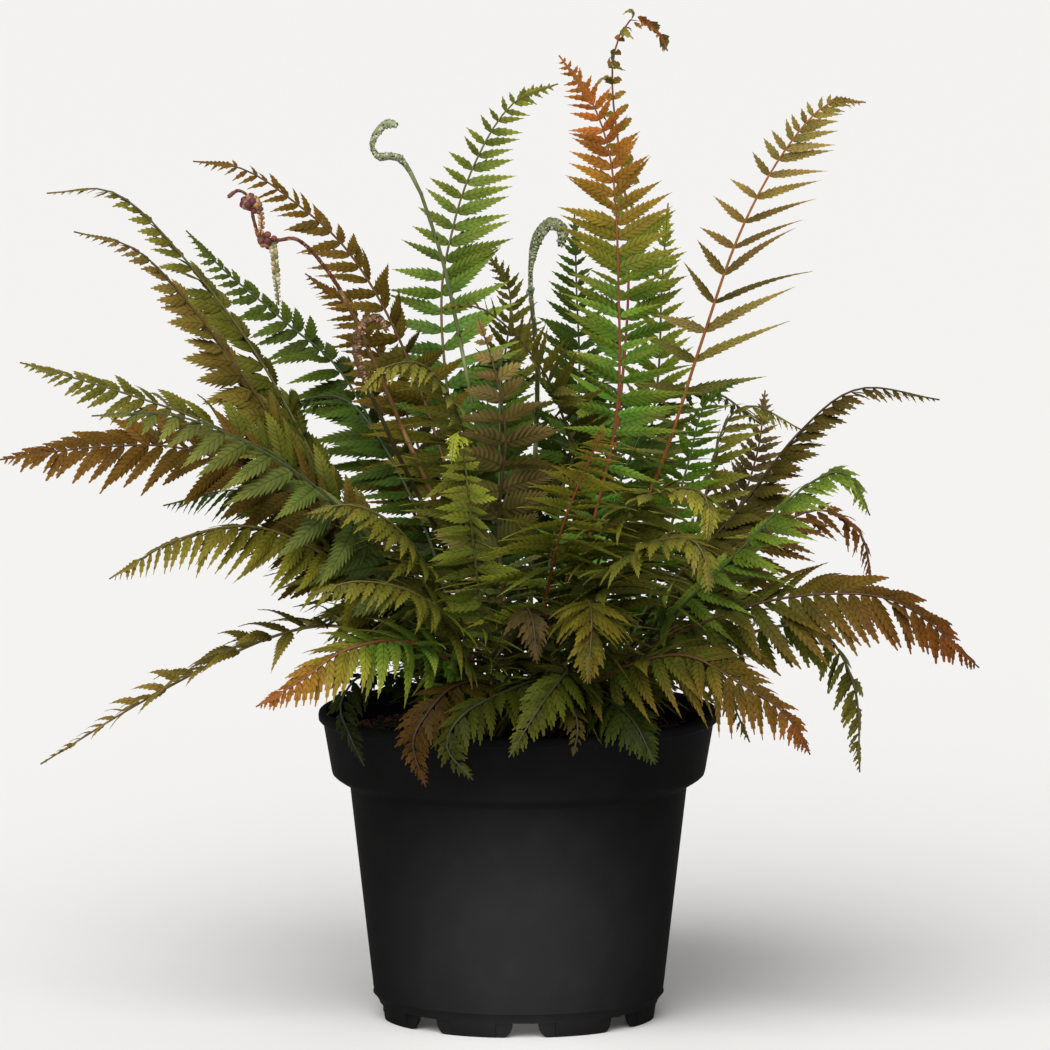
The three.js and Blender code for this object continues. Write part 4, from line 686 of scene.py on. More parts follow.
def layPinna(batch, leaf, frond, base, end, sign):
    length = leaf["length"] * chance.uniform(*pinna["lengths"])
    rows = 4 if length > pinna["fine"] and frond["look"] != "dark" else 2
    shape = makePinna(int(min(pinna["most"], max(3, round(length / pinna["lobeLength"])))), rows)
    u, v, ridge = shape["u"], shape["v"], shape["ridge"]
    across = np.abs(v)
    wide = min(leaf["half"] * pinna["broad"], pinna["widest"] * length) * chance.uniform(*pinna["widths"])
    cut = frond.get("cut", pinna["cut"])
    outline = (1 - u) ** frond.get("point", pinna["point"]) * (1 + pinna["belly"] * u) \
        * np.minimum(1, pinna["heel"] + pinna["heelRise"] * u)
    reach = outline * v * (1 - cut * (1 - ridge) * across ** 2)
    shift = (pinna["slant"] * across + pinna["tooth"] * ridge * (across > 0.99)) * wide * np.sqrt(1 - u) \
        * np.minimum(1, 0.3 + 4 * u)
    middle = np.isclose(across, 0.5)
    lift = middle * (pinna["ridge"] * ridge - pinna["crease"] * (1 - ridge)) \
        - pinna["camber"] * across ** 2 * outline - pinna["rib"] * (across < 0.01)
    wild = 1 + pinna["wild"] * (1 - leaf.get("share", 1)) ** 2
    swing = chance.gauss(0, pinna["swing"] * wild)
    lean = frond["lean"][0 if leaf["side"] > 0 else 1] if "lean" in frond and "side" in leaf else pinna["lean"]
    axis = unit(unit(leaf["axis"]) - leaf["heading"] * lean)
    axis = spun(spun(axis, leaf["heading"], swing), leaf["face"], chance.gauss(0, pinna["sweep"] * wild))
    top = spun(leaf["face"] * sign, leaf["heading"], swing)
    top = unit(top - axis * (top @ axis))
    top = spun(top, axis, chance.gauss(0, pinna["twist"] * wild))
    beside = np.cross(top, axis)
    run = (u * length + shift) / length
    curl = pinna["furlCurl"] * chance.uniform(0.7, 1.2) if leaf["furl"] else chance.uniform(-0.05, 0.3)
    bend = run * curl
    ahead, down = np.sin(bend) / curl, (1 - np.cos(bend)) / curl
    rise = lift * wide * np.sqrt(outline + 0.05) - pinna["thick"] * shape["under"]
    spots = leaf["root"] + length * (np.outer(ahead, axis) - np.outer(down, top)) \
        + np.outer(rise * np.cos(bend), top) + np.outer(rise * np.sin(bend), axis) \
        + np.outer(run ** 2 * length, leaf["droop"]) + np.outer(reach * wide, beside) \
        + np.outer(run ** 3 * length * pinna["hook"], leaf["heading"]) \
        - np.outer(run ** 2.2 * length * pinna["hang"], (0, 0, 1))
    # painted shade at the pinna's foot by the rachis, painted light towards its tip
    light = pinna["paintedFootShade"] + (pinna["paintedTipLight"] - pinna["paintedFootShade"]) * u[:, None]
    tints = (base + (end - base) * (0.15 + 0.85 * u[:, None] ** 1.5)) * light
    addCopy(batch, shape, spots, tints, laminaSlot, shape["maps"], shape["rim"])


# Tube form: a circle drawn out ring by ring, laid along a course afterwards
tubeForms = {}


def makeTube(rings, sides):
    if (rings, sides) in tubeForms:
        return tubeForms[rings, sides]
    form = bmesh.new()
    bmesh.ops.create_circle(form, cap_ends=True, segments=sides, radius=1)
    form.faces.ensure_lookup_table()
    end = form.faces[0]
    for ring in range(1, rings):
        grown = bmesh.ops.extrude_face_region(form, geom=[end])["geom"]
        end = next(part for part in grown if isinstance(part, bmesh.types.BMFace))
        bmesh.ops.translate(form, verts=end.verts[:], vec=(0, 0, 1))
    tubeForms[rings, sides] = readForm(form)
    return tubeForms[rings, sides]


def layTube(batch, course, stops, radii, sides, tints, slot, sideways):
    shape = makeTube(len(stops), sides)
    laid = [frameAt(course, distance, sideways) for distance in stops]
    places, lefts, tops = (np.array([spot[part] for spot in laid]) for part in (0, 2, 3))
    ring = np.round(shape["spots"][:, 2]).astype(int)
    reach = np.array(radii)[ring][:, None]
    spots = places[ring] + (lefts[ring] * shape["spots"][:, :1] + tops[ring] * shape["spots"][:, 1:2]) * reach
    addCopy(batch, shape, spots, np.array(tints)[ring], slot)


# Small forms: a scale is an eight-faced sliver, a crumb a ball of 20 faces and a bead one of 80
form = bmesh.new()
bmesh.ops.create_uvsphere(form, u_segments=4, v_segments=2, radius=1)
scaleForm = readForm(form)
form = bmesh.new()
bmesh.ops.create_icosphere(form, subdivisions=1, radius=1)
crumbForm = readForm(form)
form = bmesh.new()
bmesh.ops.create_icosphere(form, subdivisions=2, radius=1)
beadForm = readForm(form)


def layScale(batch, place, axis, top, length, wide, tint, slot, thick=0.12):
    axis = unit(axis)
    top = unit(top - axis * (top @ axis))
    size = np.array([length / 2, wide / 2, thick])
    spots = scaleForm["spots"] * size
    spots[:, 0] += length / 2 * 0.8
    addCopy(batch, scaleForm, place + spots @ np.array([axis, np.cross(top, axis), top]), np.array(tint), slot)


# Each leaflet of a solid stands for two slender ones, and the blade runs out into a saw-edged tail
crowded = {"places": (-0.25, 0.25), "last": 0.985, "wide": 0.285, "slender": 0.13, "least": 0.6, "furled": 1.5,
           "whole": 0.95, "tail": 0.88, "tailWide": 0.42, "tailLeast": 1.2, "tailMost": 3.2, "tailTooth": 2.2,
           "tailTeeth": (4, 15)}


def bladeShare(share, taper):
    return max(0.02, 1 - share ** taper)


def splitLeaf(frond, leaf):
    halves = []
    taper = frond.get("taper", layout["taper"])
    reach = frond.get("sides", (1, 1))[0 if leaf["side"] > 0 else 1]
    if leaf["share"] < frond.get("splitFrom", 0):
        half = leaf["half"] * frond.get("broad", crowded["whole"])
        return [{**leaf, "length": leaf["length"] * reach, "half": half}]
    lace = frond.get("lace", {"below": 0})
    for place in crowded["places"]:
        share = min(crowded["last"], max(0.0, leaf["share"] + place * leaf["step"]))
        slimmed = bladeShare(share, frond.get("slim", taper)) / bladeShare(leaf["share"], taper)
        length = leaf["length"] * slimmed * reach * (crowded["furled"] if leaf["furl"] else 1) + 1
        narrow = frond.get("plump", 1)
        if share < lace["below"]:
            length *= chance.uniform(*lace["length"])
            narrow *= lace["narrow"]
        half = min(crowded["wide"] * leaf["room"], crowded["slender"] * length + crowded["least"]) * narrow
        halves.append({**leaf, "root": leaf["root"] + leaf["heading"] * leaf["room"] * place, "length": length,
                       "half": half, "share": share})
    return halves


def layTail(batch, frond, course, rings, look, sign):
    first = next((ring for ring in rings if ring[4] > crowded["tail"]), rings[-1])
    length = np.linalg.norm(course["places"][-1] - first[0]) + 1
    fewest, most = crowded["tailTeeth"]
    shape = makePinna(int(min(most, max(fewest, round(length / crowded["tailTooth"])))))
    u, v, ridge = shape["u"], shape["v"], shape["ridge"]
    across = np.abs(v)
    reachAcross = frond["width"] * bladeShare(first[4], frond.get("slim", frond.get("taper", layout["taper"])))
    wide = min(crowded["tailMost"], crowded["tailWide"] * reachAcross + crowded["tailLeast"])
    reach = (1 - u) ** 0.9 * v * (1 - 0.45 * (1 - ridge) * across ** 2) * wide
    start = course["total"] - length
    spots = np.empty((len(u), 3))
    for spot in range(len(u)):
        distance = start + u[spot] * length + 0.8 * wide * across[spot] * (1 - u[spot])
        place, heading, side, face = frameAt(course, min(distance, course["total"]), first[2])
        lift = -0.25 * across[spot] * wide * (1 - u[spot]) - pinna["thick"] * shape["under"][spot] + 0.3
        spots[spot] = place + side * reach[spot] * sign + face * sign * lift
    # the tail takes the frond's shade too: partly its own tone, partly painted shade and painted light
    tints = (look["high"] + (look["tip"] - look["high"]) * u[:, None]) * frond.get("shade", 1)
    addCopy(batch, shape, spots, tints, laminaSlot, shape["maps"], shape["rim"])


def varied(tint, amount=0.12):
    shift = np.array([chance.uniform(1 - amount * 0.45, 1 + amount * 0.5), 1, chance.uniform(1 - amount, 1 + amount)])
    return np.array(tint) * chance.uniform(1 - amount, 1 + amount) * shift


# Below its blade a stalk still bears small leaflets, wherever they clear the soil and the rim: each size is a share
# of the blade's lowest pair, stretch lengthens them all, and most is the longest
lowerPairs = {"sizes": [0.97, 0.94, 0.9, 0.86, 0.82, 0.77, 0.72, 0.66, 0.6, 0.52, 0.44], "step": 5, "most": 36,
              "abovePeat": 4, "aboveRim": 5, "insideWall": 6, "half": 0.23, "stretch": 1.42}


def growLower(frond, course, rings, bare):
    leaves = []
    for index, size in enumerate(lowerPairs["sizes"]):
        distance = bare - lowerPairs["step"] * (index + 0.6)
        if distance < bare * 0.1:
            break
        place, heading, side, face = frameAt(course, distance, rings[0][2])
        for way in (1, -1):
            half = lowerPairs["step"] / 2
            leaf = leafletFrame(frond, (place - heading * half, heading, side, face, 0.0),
                                (place + heading * half, heading, side, face, 0.0), way, chance.gauss(6, 12), 1)
            full = leaf["length"] / layout["lowestPair"] * lowerPairs["stretch"]
            leaf["length"] = min(full, lowerPairs["most"]) * size
            leaf["half"] = min(leaf["half"], lowerPairs["half"] * leaf["length"])
            tip = leaf["root"] + (leaf["axis"] + leaf["droop"]) * leaf["length"]
            low, reach = min(tip[2], place[2]), math.hypot(tip[0], tip[1])
            inside = reach < crownShape["inside"] - lowerPairs["insideWall"]
            clear = inside and low > crownShape["top"] + lowerPairs["abovePeat"]
            if clear or low > crownShape["rim"] + lowerPairs["aboveRim"]:
                leaves.append(leaf)
    return leaves


# The crest of a frond that has just unrolled: a few crumpled leaflets gathered round its end
crest = {"from": 0.78, "length": [10, 17], "half": 3.6, "fan": 34, "turn": 60, "base": "#5f5420", "end": "#8f8440"}


def layCrest(batch, frond, course, bare, sideways):
    for index in range(frond.get("crest", 0)):
        share = crest["from"] + (1 - crest["from"]) * index / frond["crest"]
        place, heading, side, face = frameAt(course, bare + (course["total"] - bare) * share, sideways)
        face = spun(face, heading, chance.uniform(-crest["turn"], crest["turn"]))
        axis = spun(heading, face, chance.gauss(0, crest["fan"]))
        leaf = {"root": place, "axis": axis, "face": face, "heading": heading, "droop": np.array([0, 0, -0.2]),
                "length": chance.uniform(*crest["length"]), "half": crest["half"], "furl": True}
        layPinna(batch, leaf, frond, varied(linear(crest["base"]), 0.2), varied(linear(crest["end"]), 0.2), 1)


# Stalk and midrib: slim is their girth against the solid's. Scales sit on the stalk, most of them low on it.
rachis = {"rings": 44, "sides": 7, "slim": 0.85}
stalkScales = {"count": 26, "from": 0.02, "over": 0.9, "crowding": 1.6, "out": 0.95, "lift": [0.15, 0.9],
               "length": [2.5, 6.0], "wide": [0.8, 1.5], "colours": ["#4a2e1a", "#7a5634", "#a98a62", "#2f1d12"]}
# The blade's colour: middle is how fast it leaves the low colour, tip how much of the tip's colour a leaflet takes
blend = {"middle": 2.2, "turn": (0.4, 1), "tip": 0.55, "vary": 0.2}


def growFrond(frond):
    node = "frond_" + frond["name"]
    foot = takeFoot(frond["way"])
    course, rings, bare, leaves, gap = readFrond(frond, foot)
    look = {key: np.array(linear(code)) for key, code in zip(lookParts, looks[frond["look"]])}
    # shade: partly the frond's own tone, partly painted shade and painted light
    shade = frond.get("shade", 1)
    facing = np.mean([leaf["face"] for leaf in leaves], axis=0)
    sign = 1.0
    if frond.get("spread") is not None:
        sign = -1.0 if (facing[1] > 0) != bool(frond.get("spores")) else 1.0
    batch = startBatch()
    sideways = unit(rings[0][2])
    for leaf in [half for leaf in leaves for half in splitLeaf(frond, leaf)] + growLower(frond, course, rings, bare):
        share = leaf["share"]
        base = look["low"] + (look["mid"] - look["low"]) * min(1, share * blend["middle"])
        start, full = frond.get("turn", blend["turn"])
        base = base + (look["high"] - base) * min(1, max(0, (share - start) / (full - start)))
        base = varied(base, blend["vary"]) * shade
        layPinna(batch, leaf, frond, base, base + (look["tip"] * shade - base) * blend["tip"], sign)
    layTail(batch, frond, course, rings, look, sign)
    layCrest(batch, frond, course, bare, sideways)
    stops = np.linspace(-layout["stemDepth"], course["total"], rachis["rings"])
    radii, tints = [], []
    for distance in stops:
        share = max(0.0, (distance - bare) / (course["total"] - bare))
        half = layout["rachisHalf"] + (layout["tipHalf"] - layout["rachisHalf"]) * share if share > 0 else \
            layout["stemHalf"] + (layout["rachisHalf"] - layout["stemHalf"]) * max(0, distance) / bare
        radii.append(rachis["slim"] * half)
        ripe = min(1, max(0, distance / bare))
        # the stalk and midrib are darkened with the frond's painted shade as well
        tints.append((look["stalk"] + (look["rib"] - look["stalk"]) * ripe) * min(1, shade))
    layTube(batch, course, stops, radii, rachis["sides"], tints, stalkSlot, sideways)
    for index in range(stalkScales["count"]):
        distance = bare * (stalkScales["from"] + stalkScales["over"] * chance.random() ** stalkScales["crowding"])
        place, heading = along(course, distance)
        around = spun(unit(np.cross(heading, sideways)), heading, chance.uniform(0, 360))
        axis = unit(heading + around * chance.uniform(*stalkScales["lift"]))
        layScale(batch, place + around * stalkScales["out"], axis, around,
                 chance.uniform(*stalkScales["length"]), chance.uniform(*stalkScales["wide"]),
                 linear(chance.choice(stalkScales["colours"])), scaleSlot)
    finishPiece("fine_" + node, batch, leafSkins, node, frond.get("spores", 0.0))
    return gap, len(leaves)


for young in croziers:
    young["foot"] = takeFoot(young["way"])
worst, count = 0.0, 0
for frond in fronds:
    gap, grown = growFrond(frond)
    worst, count = max(worst, gap), count + grown
print(f"{len(fronds)} fronds with {count} leaflets, furthest tip {worst:.3f} mm off its solid")


# Croziers: a slender stalk that thickens into a roll of furled pinnae, under flat papery scales.
# A girth is the radius at each share of the course, and rings are how far apart the grooves on the roll are.
# Beads are furled pinnae, and lumps are knots of them. Curls are the small rolls that hang from the red one.
crozierLooks = {
    "pale": {"stalk": "#747e4c", "skin": "#929b74", "beads": ["#a0a782", "#7c855c", "#bcc2a2"],
             "scales": ["#3a3b26", "#5a5c3e"], "rings": 1.7, "scaleCount": 90, "beadSize": 0.9,
             "girth": [(0, 1.3), (0.5, 1.0), (0.84, 0.85), (0.865, 1.2), (0.885, 1.9), (0.915, 2.1), (0.935, 1.2),
                       (0.96, 1.9), (0.985, 2.1), (1, 1.5)]},
    "red": {"stalk": "#7a5a30", "skin": "#74442f", "beads": ["#7c4036", "#5c2c30", "#a9755a", "#6d352e", "#8f5a44"],
            "scales": ["#4a2a1e", "#8a5c3c", "#b58a66"], "rings": 2.4, "scaleCount": 120, "beadSize": 0,
            "girth": [(0, 1.4), (0.6, 1.1), (0.9, 0.95), (0.965, 0.7), (0.985, 0.9), (1, 1.1)],
            "lumps": [{"place": [-119, 26, 369.5], "count": 26, "spread": [5.2, 3, 3.6], "size": [1.0, 2.1]},
                      {"place": [-127.5, 25, 387], "count": 28, "spread": [3.8, 3, 4.6], "size": [1.0, 2.3]}]},
    "scaly": {"stalk": "#5c6138", "skin": "#757c58", "beads": ["#828a66", "#989f7c", "#5f6745"],
              "scales": ["#34371f", "#b6ba98", "#9aa078"], "rings": 2.0, "scaleCount": 460, "beadSize": 1.1,
              "girth": [(0, 1.4), (0.6, 1.1), (0.84, 1.05), (0.87, 1.7), (0.9, 2.6), (0.95, 3.2), (0.985, 2.6),
                        (1, 1.6)],
              "lumps": [{"place": [5.5, -9.5, 349], "count": 10, "spread": [1.6, 1.4, 2.0], "size": [0.9, 1.6]}]},
    "brown": {"stalk": "#443d20", "skin": "#77573a", "beads": ["#8c6a49", "#a4805f", "#62472f"],
              "scales": ["#40281a", "#a98866", "#7e5f40"], "rings": 1.8, "scaleCount": 200, "beadSize": 1.0,
              "girth": [(0, 1.3), (0.6, 1.0), (0.78, 1.0), (0.84, 1.8), (0.9, 2.4), (0.96, 2.2), (1, 1.2)]},
}

# The skin of a roll is painted darker down in its grooves: painted shade.
crozierShape = {"stalkRings": 24, "rollRings": 57, "sides": 10, "groove": 0.16, "paintedShadeBase": 0.55, "paintedShadeGain": 0.5,
                "beadStep": 1.25, "beadOut": 0.62, "beadSizes": (0.7, 1.2), "bead": (0.8, 1.1, 1.2),
                "lumpBead": (1, 0.85, 0.9), "rolledScales": 0.75, "proud": 0.97}
curlLook = {"rings": 12, "sides": 8, "spacing": 1.05, "radius": 1.45, "apart": 0.8, "core": 1.1,
            "colours": [["#b5ad86", "#8f8c62", "#a99a70", "#6f6a44"], ["#a07c52", "#84603c", "#b08c62", "#6a4830"]]}


def layBead(batch, place, size, stretch, axes, colours, amount):
    spots = place + (beadForm["spots"] * size * np.array(stretch)) @ np.array(axes)
    addCopy(batch, beadForm, spots, varied(linear(chance.choice(colours)), amount), stalkSlot)


def growCrozier(young):
    s, look = crozierShape, crozierLooks[young["name"]]
    node = "crozier_" + young["name"]
    course = makeCourse(young["foot"], young["way"])
    total = course["total"]
    rollStart = total * young["rollFrom"]
    sideways = unit(np.array([0.06, 1.0, 0.0]))
    shares, girths = zip(*look["girth"])
    stops = np.concatenate([np.linspace(-layout["stemDepth"], rollStart, s["stalkRings"]),
                            np.linspace(rollStart, total, s["rollRings"])[1:]])
    radii, tints = [], []
    for distance in stops:
        rolled = distance > rollStart
        ringed = 1 - s["groove"] * (0.5 + 0.5 * math.cos(2 * math.pi * distance / look["rings"])) * rolled
        radii.append(float(np.interp(distance / total, shares, girths)) * ringed)
        tint = np.array(linear(look["skin"] if rolled else look["stalk"]))
        # painted shade: the skin is darker in the grooves between the rings of the roll
        tints.append(tint * (s["paintedShadeBase"] + s["paintedShadeGain"] * ringed) * chance.uniform(0.9, 1.08))
    batch = startBatch()
    layTube(batch, course, stops, radii, s["sides"], tints, stalkSlot, sideways)
    distance = rollStart
    while look["beadSize"] and distance < total:
        place, heading, side, top = frameAt(course, distance, sideways)
        girth = float(np.interp(distance / total, shares, girths))
        size = look["beadSize"] * chance.uniform(*s["beadSizes"]) * min(1, girth / 2)
        for way in (1, -1):
            spot = place + side * way * girth * s["beadOut"] + top * girth * chance.uniform(-0.75, 0.2)
            layBead(batch, spot, size, s["bead"], (heading, side, top), look["beads"], 0.2)
        distance += look["beadSize"] * s["beadStep"]
    for lump in look.get("lumps", []):
        for index in range(lump["count"]):
            aside = unit(np.array([chance.gauss(0, 1) for axis in range(3)]))
            offset = aside * chance.uniform(0.35, 1) * np.array(lump["spread"])
            layBead(batch, np.array(lump["place"]) + offset, chance.uniform(*lump["size"]), s["lumpBead"], np.eye(3),
                    look["beads"], 0.25)
    for index in range(look["scaleCount"]):
        rolled = chance.random() < s["rolledScales"]
        distance = rollStart + (total - rollStart) * chance.random() if rolled else \
            rollStart * (0.03 + 0.97 * chance.random())
        place, heading = along(course, distance)
        around = spun(unit(np.cross(heading, sideways)), heading, chance.uniform(0, 360))
        reach = float(np.interp(distance / total, shares, girths))
        axis = heading + around * chance.uniform(0.0, 0.08 if rolled else 0.4)
        layScale(batch, place + around * reach * s["proud"], axis, around,
                 chance.uniform(1.1, 2.0) if rolled else chance.uniform(2, 4), chance.uniform(0.7, 1.2),
                 linear(chance.choice(look["scales"])), scaleSlot, 0.1)
    for way, colours in zip(young["curls"], curlLook["colours"]):
        curl = makeCourse(np.array(way[0], float), way[1:])
        count = int(curl["total"] / curlLook["spacing"])
        stops = np.linspace(0, curl["total"], curlLook["rings"])
        radii = [curlLook["core"] * (1 - 0.6 * stop / curl["total"]) for stop in stops]
        layTube(batch, curl, stops, radii, curlLook["sides"], [linear(colours[-1])] * len(stops), stalkSlot, sideways)
        for k in range(count):
            place, heading, side, top = frameAt(curl, curlLook["spacing"] * (k + chance.uniform(0, 0.5)), sideways)
            size = curlLook["radius"] * math.sin(math.pi * (0.3 + 0.58 * k / count)) * chance.uniform(0.75, 1.15)
            apart = curlLook["apart"] if k % 2 else -curlLook["apart"]
            spot = place + top * apart + side * chance.uniform(-0.5, 0.5)
            stretch = (chance.uniform(0.8, 1.1), 0.9, chance.uniform(0.8, 1.1))
            layBead(batch, spot, size, stretch, (heading, side, top), colours, 0.25)
    finishPiece("fine_" + node, batch, leafSkins, node)


for young in croziers:
    growCrozier(young)
print("croziers grown")

# Pot: the solid's own section turned finely with its small roundings, then notches and drain holes cut: skirtCut
# thins the foot ring outside each notch, archCut opens it with flared sides and drainCut goes through the floor
potShape = {"height": 147.6, "lip": 95.3, "lipInner": 91.6, "collarTop": 93, "collarLow": 89, "collarFoot": 118.6,
            "shoulder": 80.3, "shoulderHeight": 111.5, "bodyLow": 69.2, "step": 12.8, "foot": 66.4, "footLow": 65.4,
            "footInner": 63.4, "wall": 1.7, "floor": 1.8, "pad": 11, "padSlope": 2, "drainFloor": 8, "notches": 8,
            "notchWide": 28.8, "notchHigh": 7.1, "notchSkin": 1.5, "archTop": 12, "archFoot": 22, "notchTurn": 3,
            "drainRadius": 57.5, "drainWide": 9, "drainDeep": 5, "rounds": 160, "sharpFrom": 38}


def spinProfile(profile, steps):
    form = bmesh.new()
    verts = [form.verts.new((radius * mm, 0, height * mm)) for radius, height in profile]
    edges = [form.edges.new(pair) for pair in zip(verts, verts[1:])]
    bmesh.ops.spin(form, geom=verts + edges, cent=(0, 0, 0), axis=(0, 0, 1), angle=2 * math.pi, steps=steps,
                   use_merge=True)
    bmesh.ops.remove_doubles(form, verts=form.verts, dist=1e-6)
    bmesh.ops.recalc_face_normals(form, faces=form.faces)
    return form


def formToObject(form, name):
    mesh = bpy.data.meshes.new(name)
    form.to_mesh(mesh)
    form.free()
    return addObject(name, mesh)


def cutAway(piece, cutter):
    cut = piece.modifiers.new("cut", "BOOLEAN")
    cut.object = cutter
    cut.solver = "EXACT"
    bpy.context.view_layer.update()
    whole = bpy.data.meshes.new_from_object(piece.evaluated_get(bpy.context.evaluated_depsgraph_get()))
    piece.modifiers.clear()
    piece.data = whole
    bpy.data.objects.remove(cutter)


def copyRound(form, count, turn):
    first = form.verts[:] + form.edges[:] + form.faces[:]
    bmesh.ops.rotate(form, verts=form.verts, cent=(0, 0, 0), matrix=Matrix.Rotation(math.radians(turn), 3, "Z"))
    for index in range(1, count):
        copied = bmesh.ops.duplicate(form, geom=first)["geom"]
        verts = [part for part in copied if isinstance(part, bmesh.types.BMVert)]
        turned = Matrix.Rotation(2 * math.pi * index / count, 3, "Z")
        bmesh.ops.rotate(form, verts=verts, cent=(0, 0, 0), matrix=turned)
    bmesh.ops.recalc_face_normals(form, faces=form.faces)


def makePot():
    s = potShape
    profile = [
        (0, 0), (s["pad"], 0), (s["pad"] + s["padSlope"], s["drainFloor"]), (s["footInner"] - 1, s["drainFloor"]),
        (s["footInner"], 0.4), (s["footInner"] + 0.4, 0), (s["footLow"] - 0.4, 0), (s["footLow"], 0.4),
        (s["foot"], s["step"] - 5.5), (s["foot"] + 0.3, s["step"] - 4.6), (s["bodyLow"] - 0.3, s["step"] - 1.3),
        (s["bodyLow"] + 0.2, s["step"] - 1.0), (s["bodyLow"] + 0.2, s["step"] - 0.7),
        (s["bodyLow"] - 0.1, s["step"] - 0.2), (s["shoulder"] - 0.05, s["shoulderHeight"] - 0.6),
        (s["shoulder"] + 0.35, s["shoulderHeight"] + 0.2), (s["shoulder"] + 1.4, s["shoulderHeight"] + 1),
        (s["collarLow"] - 4.6, s["shoulderHeight"] + 2.4), (s["collarLow"] - 1.9, s["shoulderHeight"] + 4.2),
        (s["collarLow"] - 0.5, s["shoulderHeight"] + 5.5), (s["collarLow"], s["collarFoot"]),
        (s["collarTop"] - 0.1, s["height"] - 6.4), (s["collarTop"] + 0.3, s["height"] - 5.6),
        (s["lip"] - 0.7, s["height"] - 5), (s["lip"] - 0.15, s["height"] - 4.4), (s["lip"], s["height"] - 2.4),
        (s["lip"] - 0.3, s["height"] - 1), (s["lip"] - 1.3, s["height"] - 0.1), (s["lip"] - 2.4, s["height"]),
        (s["lipInner"] + 0.4, s["height"] - 0.2), (s["lipInner"], s["height"] - 0.9),
        (s["collarLow"] - s["wall"], s["collarFoot"]), (s["collarLow"] - 5.4, s["shoulderHeight"] + 4.2),
        (s["shoulder"] - s["wall"], s["shoulderHeight"] + 2),
        (s["bodyLow"] - s["wall"] - 0.2, s["drainFloor"] + s["floor"] + 4),
        (s["bodyLow"] - s["wall"] - 3, s["drainFloor"] + s["floor"]),
        (s["pad"] + s["padSlope"] - s["floor"], s["drainFloor"] + s["floor"]), (s["pad"] - s["floor"], s["floor"]),
        (0, s["floor"])]
    pot = formToObject(spinProfile(profile, s["rounds"]), "finePot")

    skirt = s["footInner"] + s["notchSkin"]
    form = bmesh.new()
    ring = [form.verts.new((radius * mm, 0, height * mm)) for radius, height in
            ((skirt, -1), (skirt + 9, -1), (skirt + 9, s["notchHigh"]), (skirt, s["notchHigh"]))]
    halfAngle = math.asin(s["notchWide"] / 2 / s["foot"])
    bmesh.ops.rotate(form, verts=ring, cent=(0, 0, 0), matrix=Matrix.Rotation(-halfAngle, 3, "Z"))
    face = form.faces.new(ring)
    bmesh.ops.spin(form, geom=[face], cent=(0, 0, 0), axis=(0, 0, 1), angle=2 * halfAngle, steps=10)
    copyRound(form, s["notches"], s["notchTurn"] - 90)
    cutAway(pot, formToObject(form, "skirtCut"))

    form = bmesh.new()
    top, foot, high = s["archTop"] / 2, s["archFoot"] / 2, s["notchHigh"]
    turns = [math.radians(90 - 15 * index) for index in range(7)]
    side = [(foot, -1)] + [(foot - (foot - top) * math.cos(turn), high * (1 - math.sin(turn))) for turn in turns]
    side += [(-x, z) for x, z in reversed(side)]
    outline = [form.verts.new((x * mm, -(s["footInner"] - 4) * mm, z * mm)) for x, z in side]
    arch = bmesh.ops.extrude_face_region(form, geom=[form.faces.new(outline)])["geom"]
    front = [part for part in arch if isinstance(part, bmesh.types.BMVert)]
    bmesh.ops.translate(form, verts=front, vec=(0, -10 * mm, 0))
    copyRound(form, s["notches"], s["notchTurn"])
    cutAway(pot, formToObject(form, "archCut"))

    form = bmesh.new()
    bmesh.ops.create_cube(form, size=mm)
    bmesh.ops.scale(form, verts=form.verts, vec=(s["drainWide"], s["drainDeep"], s["floor"] * 3))
    drain = (0, -s["drainRadius"] * mm, (s["drainFloor"] + s["floor"] / 2) * mm)
    bmesh.ops.translate(form, verts=form.verts, vec=drain)
    copyRound(form, s["notches"], s["notchTurn"])
    cutAway(pot, formToObject(form, "drainCut"))

    pot.data.shade_smooth()
    pot.data.set_sharp_from_angle(angle=math.radians(s["sharpFrom"]))
    pot.data.materials.clear()
    pot.data.materials.append(plastic)
    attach(pot, "root")
    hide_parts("pot")


makePot()
print("pot turned and notched")

# Soil: an uneven peat surface under loose crumbs and fibres. The wall is the section that stands against the pot,
# and the swell is how high the peat lies at each radius.
soilShape = {"level": 135, "rings": 46, "rounds": 150, "outer": 88.6, "heave": 1.5, "lumps": 1.3,
             "wall": [(87.8, 131.5), (86.4, 120.2), (77.7, 114.4), (66.8, 14.6), (63, 10.4)],
             "swell": [(0, 134), (40, 134), (47, 134.2), (64, 136), (80, 134.5), (88, 132.8)], "colour": "#1a0f0a",
             "crumbs": 2400, "crumbReach": 88, "size": [0.7, 2.3],
             "crumbColours": ["#160d09", "#21130c", "#2e190f", "#3b2014", "#100a07", "#4a2b1c"],
             "fibres": 260, "fibreReach": 82, "fibreLength": [3, 9], "fibreWide": [0.35, 0.8],
             "fibreColours": ["#6b4a30", "#3a2416", "#8a6a48"]}


def scattered(reach):
    return reach * math.sqrt(chance.random()), chance.uniform(0, 2 * math.pi)


def soilHeight(x, y):
    radius = math.hypot(x, y)
    base = np.interp(radius, *zip(*soilShape["swell"]))
    heave = soilShape["heave"] * math.sin(x * 0.31) * math.cos(y * 0.27 + 1)
    lumps = noise.noise(Vector((x, y, 3)) / 7.0) * soilShape["lumps"] + noise.noise(Vector((x, y, 9)) / 2.6) * 0.6
    return base + heave + lumps


